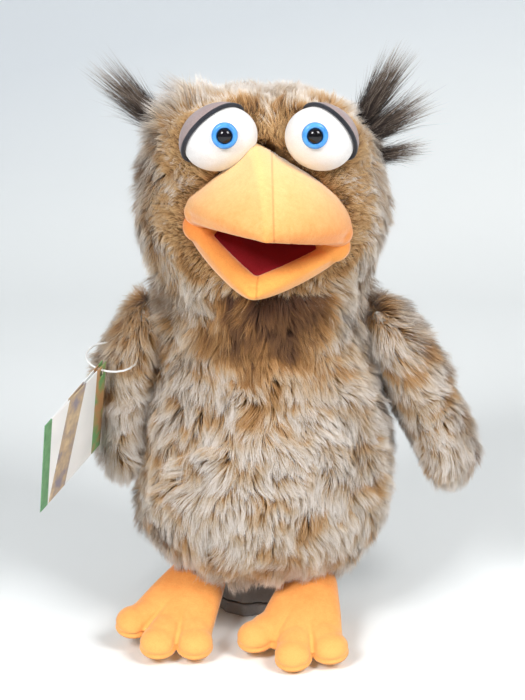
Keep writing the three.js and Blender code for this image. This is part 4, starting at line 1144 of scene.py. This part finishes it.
def make_lower_beak():
    matrix = mouth_matrix(LOWER_DROOP)
    length, half, depth = LOWER_SIZE
    rings = []
    for share in -0.05 + 1.02 * np.sin(np.linspace(0, math.pi / 2, 30)):
        wide = max(half * taper(share, *LOWER_TAPER), 1.2)
        low = max(depth * taper(share, 1.6, 0.7), 1.0)
        ring = []
        for angle in np.linspace(math.pi, 0, 40):
            c = math.cos(angle)
            x = c * wide + LOWER_LEAN * share
            ring.append((x, -share * length, -low * (1 - abs(c) ** 2.2) ** (1 / 2.2) + LOWER_LEVEL))
        for c in np.linspace(0.94, -0.94, 16):
            ring.append((c * wide + LOWER_LEAN * share, -share * length, LOWER_LEVEL))
        rings.append(np.array(ring))
    lip = lip_path(LOWER_SIZE, *LOWER_TAPER, LOWER_LIP_INSET, LOWER_LIP_LEVEL)
    lip[:, 0] += LOWER_LEAN * -lip[:, 1] / length
    bodies = [rings, tube(lip, lambda t: np.full(len(t), LOWER_LIP_RADIUS), 0.68)]
    bodies = all_moved(bodies + beak_corners(LOWER_CORNER), matrix)
    obj = fused("lower_beak_cloth", bodies, lower_velour, 1.2, 6)
    finished(obj, "jaw", ["lower_beak"])

    rings = []
    for share in np.linspace(-0.07, 0.82, 40):
        wide = max(half * taper(share, *LOWER_TAPER) - LIP_WIDTH + 1, 0.6)
        across = np.linspace(-wide, wide, 24)
        sag = -1.2 * np.cos(0.5 * np.pi * across / wide) * math.sin(math.pi * share)
        top = np.stack([across + LOWER_LEAN * share, np.full(24, -share * length), -0.9 + sag], axis=1)
        rings.append(moved(np.vstack([top, (top - [0, 0, 1.5])[::-1]])[::-1], matrix))
    felt = rings_object("lower_mouth_cloth", rings, mouth_felt)
    finished(felt, "jaw", ["lower_mouth_felt"])


# Feet


def foot_matrix(side):
    foot = FEET[side]
    yaw = Matrix.Rotation(math.radians(foot["yaw"]), 4, "Z")
    roll = Matrix.Rotation(math.radians(foot["roll"]), 4, "Y")
    pitch = Matrix.Rotation(math.radians(foot["pitch"]), 4, "X")
    return np.array(Matrix.Translation(foot["at"]) @ yaw @ roll @ pitch)


def toe_matrix(angle):
    return np.array(Matrix.Translation(TOE_ROOT) @ Matrix.Rotation(math.radians(angle), 4, "Z"))


def make_foot(side):
    matrix = foot_matrix(side)
    angles = circle(36)
    c, s = np.cos(angles), np.sin(angles)
    wedge = []
    for y, half, top, bottom in between(FOOT_WEDGE, 26):
        middle, high = (top + bottom) / 2, (top - bottom) / 2
        x = np.sign(c) * np.abs(c) ** 0.85 * half
        z = middle + np.sign(s) * np.abs(s) ** 0.8 * high
        wedge.append(np.stack([x, np.full(36, y), z], axis=1))
    bodies = [wedge, ellipsoid((0, 0, 0), ANKLE_SIZE)]
    for angle, reach in zip(TOE_ANGLES[side], TOE_REACHES):
        bodies.append(ellipsoid((0, -reach, 0), TOE_SIZE, toe_matrix(angle)))
        bodies.append(ellipsoid((0, -reach - TOE_TIP, 0), TOE_TIP_SIZE, toe_matrix(angle)))
    for rings in bodies[1:]:
        for ring in rings:
            ring[:, 2] = np.maximum(ring[:, 2], SOLE_LEVEL)
    bodies = all_moved(bodies, matrix)
    seam_at = moved([[0, -30, FOOT_SEAM_LEVEL - 0.5]], matrix)[0]
    # Painted shade: each foot is darker orange at its top, under the fur, and lighter towards the toes.
    velour = velour_with_painted_light(f"foot_velour_{side}", 16, 60, "#fdb868", "#ee8a42", (seam_at, matrix[:3, 2]))
    obj = fused(f"foot_cloth_{side}", bodies, velour, 1.1, 7)
    points = points_of(obj)
    local = unmoved(points, matrix)
    dip = np.zeros(len(points))
    for pair in (TOE_ANGLES[side][:2], TOE_ANGLES[side][1:]):
        angle = math.radians(sum(pair) / 2)
        ahead = -(local[:, 1] - TOE_ROOT[1]) * math.cos(angle) + local[:, 0] * math.sin(angle)
        aside = local[:, 0] * math.cos(angle) + (local[:, 1] - TOE_ROOT[1]) * math.sin(angle)
        dip += 1.4 * smoothstep(14, 34, ahead) * np.exp(-(aside / 1.7) ** 2) * (local[:, 2] > -14)
    seam = 1.3 * np.exp(-((local[:, 2] - FOOT_SEAM_LEVEL) / 1.0) ** 2)
    seam -= 0.8 * np.exp(-((local[:, 2] - FOOT_SEAM_LEVEL - 2.6) / 1.0) ** 2)
    set_points(obj, points + normals_of(obj) * (seam - dip)[:, None])
    finished(obj, f"foot_{side}", [f"foot_upper_{side}", f"foot_sole_{side}"])
    points = points_of(obj) - normals_of(obj) * FOOT_CLOTH
    faces = [tuple(face.vertices) for face in obj.data.polygons]
    inside = mesh_object(f"foot_filling_{side}", points, faces, filling)
    finished(inside, f"foot_{side}", [f"foot_stuffing_{side}"])


# Camera, floor and light


def make_camera():
    data = bpy.data.cameras.new("camera")
    data.sensor_fit = "VERTICAL"
    data.sensor_height = CAMERA_SENSOR
    data.lens = CAMERA_LENS
    camera = linked("camera", data)
    camera.location = (SHIFT[0] * MM, (SHIFT[1] - CAMERA_DISTANCE) * MM, CAMERA_HEIGHT * MM)
    camera.rotation_euler = (math.radians(90 - CAMERA_PITCH), 0, 0)
    bpy.context.scene.camera = camera


def area_light(name, position, target, size, power):
    data = bpy.data.lights.new(name, "AREA")
    data.size = size
    data.energy = power
    lamp = linked(name, data)
    lamp.location = position
    lamp.rotation_euler = (Vector(target) - Vector(position)).to_track_quat("-Z", "Y").to_euler()


def make_stage():
    profile = [(FLOOR_FRONT, 0.0), (FLOOR_BACK, 0.0)]
    for a in np.linspace(0.1, math.pi / 2, 12):
        profile.append((FLOOR_BACK + FLOOR_CURVE * math.sin(a), FLOOR_CURVE - FLOOR_CURVE * math.cos(a)))
    profile.append((FLOOR_BACK + FLOOR_CURVE, BACKDROP_TOP))
    points = [(x, y, z) for y, z in profile for x in (-FLOOR_HALF_WIDTH, FLOOR_HALF_WIDTH)]
    faces = [(2 * i, 2 * i + 1, 2 * i + 3, 2 * i + 2) for i in range(len(profile) - 1)]
    mesh = bpy.data.meshes.new("backdrop")
    mesh.from_pydata(points, [], faces)
    mesh.shade_smooth()
    s = Shader("backdrop")
    place_on = s.add("SeparateXYZ", {0: s.place()})
    # Painted light fall-off: the backdrop darkens higher up and towards the left.
    height = s.math("SUBTRACT", place_on.outputs[2], s.math("MULTIPLY", place_on.outputs[0], 0.2))
    colour = s.ramp(height, [(0.0, "#f7fafa"), (0.1, "#f1f5f6"), (0.35, "#dde3e8"), (1.0, "#c9d0d6")])
    colour = s.mix(0.02, colour, s.noise(3.0, 2.0))
    # Painted light: camera rays see the floor glow, more towards the back.
    far = s.share(place_on.outputs[1], 0.0, 1.3)
    seen = s.add("LightPath").outputs["Is Camera Ray"]
    painted_backdrop_glow = s.math("MULTIPLY", s.math("MULTIPLY", far, seen), 0.16)
    s.surface(colour, 0.9, Emission_Color=colour, Emission_Strength=painted_backdrop_glow, Specular_IOR_Level=0.1)
    mesh.materials.append(s.material)
    linked("backdrop", mesh)


def make_lights():
    for name, values in LAMPS.items():
        area_light(name, *values)
    world = bpy.data.worlds.new("world")
    world.use_nodes = True
    background = world.node_tree.nodes["Background"]
    background.inputs[0].default_value = (1, 1, 1, 1)
    rays = world.node_tree.nodes.new("ShaderNodeLightPath")
    strength = world.node_tree.nodes.new("ShaderNodeMath")
    strength.operation = "MULTIPLY_ADD"
    seen = world.node_tree.nodes.new("ShaderNodeMath")
    seen.use_clamp = True
    world.node_tree.links.new(rays.outputs["Is Camera Ray"], seen.inputs[0])
    world.node_tree.links.new(rays.outputs["Is Transmission Ray"], seen.inputs[1])
    world.node_tree.links.new(seen.outputs[0], strength.inputs[0])
    strength.inputs[1].default_value = BACKDROP_LEVEL - WORLD_LEVEL
    strength.inputs[2].default_value = WORLD_LEVEL
    world.node_tree.links.new(strength.outputs[0], background.inputs[1])
    bpy.context.scene.world = world
    bpy.context.scene.view_settings.view_transform = "Standard"


# Inner and smaller pieces


def make_soft(name, nodes, body, material, voxel=2.0, rounds=6, swell=0.0):
    obj = soft_copy(name, nodes, material, voxel, rounds, swell)
    return finished(obj, body, nodes)


def make_folds(obj):
    """Soft upright folds that fade out towards the top."""
    points = points_of(obj)
    angle = np.arctan2(points[:, 1] - SLEEVE_Y, points[:, 0])
    wave = np.sin(9 * angle + 0.6 * np.sin(2 * angle)) + 0.5 * np.sin(17 * angle + 1.3)
    fade = smoothstep(FOLD_TOP, 0, points[:, 2])
    radial = unit((points - [0, SLEEVE_Y, 0]) * [1, 1, 0])
    set_points(obj, points + radial * (FOLD_DEPTH * wave * fade)[:, None])


def make_insides():
    make_soft("belly_filling", ["belly_stuffing"], "torso", filling, 3.0)
    make_soft("head_filling", ["head_stuffing"], "head", filling, 3.0, swell=-8.0)
    make_folds(make_soft("sleeve_cloth", ["sleeve_lining"], "torso", lining_shadow_grey, 1.3, 4))
    make_folds(make_soft("hem_cloth", ["hem_band"], "torso", lining_shadow_grey, 1.0, 2))
    make_soft("neck_cloth", ["neck_lining"], "neck_lower", lining_shadow_grey, 1.2, 4)
    make_soft("pocket_cloth", ["head_lining"], "head", lining_shadow_grey, 1.0, 3)
    for side in SIDES:
        wing = f"wing_{side}"
        make_soft(f"wing_filling_{side}", [f"wing_stuffing_{side}"], wing, filling)
        make_eyeball(side)
        make_lid(side)
        make_iris(side)
        make_foot(side)
    make_upper_beak()
    make_lower_beak()
    make_soft("upper_mouth_cloth", ["upper_mouth_felt"], "head", mouth_felt, 0.7, 2)
    make_soft("fold_cloth", ["mouth_fold"], "head", mouth_felt, 0.8, 4)
    plain = {
        "upper_mouth_board": board, "lower_mouth_board": board, "eye_washer_right": washer_plastic,
        "eye_washer_left": washer_plastic, "tag_card": card, "tag_loop": thread,
    }
    for name, material in plain.items():
        for place_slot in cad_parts[name].material_slots:
            place_slot.link = "OBJECT"
            place_slot.material = material


make_camera()
make_stage()
make_lights()
make_insides()
make_torso()
make_neck()
make_head()
for side in SIDES:
    make_wing(side)
for tuft, values in TUFTS.items():
    make_tuft(tuft, *values)
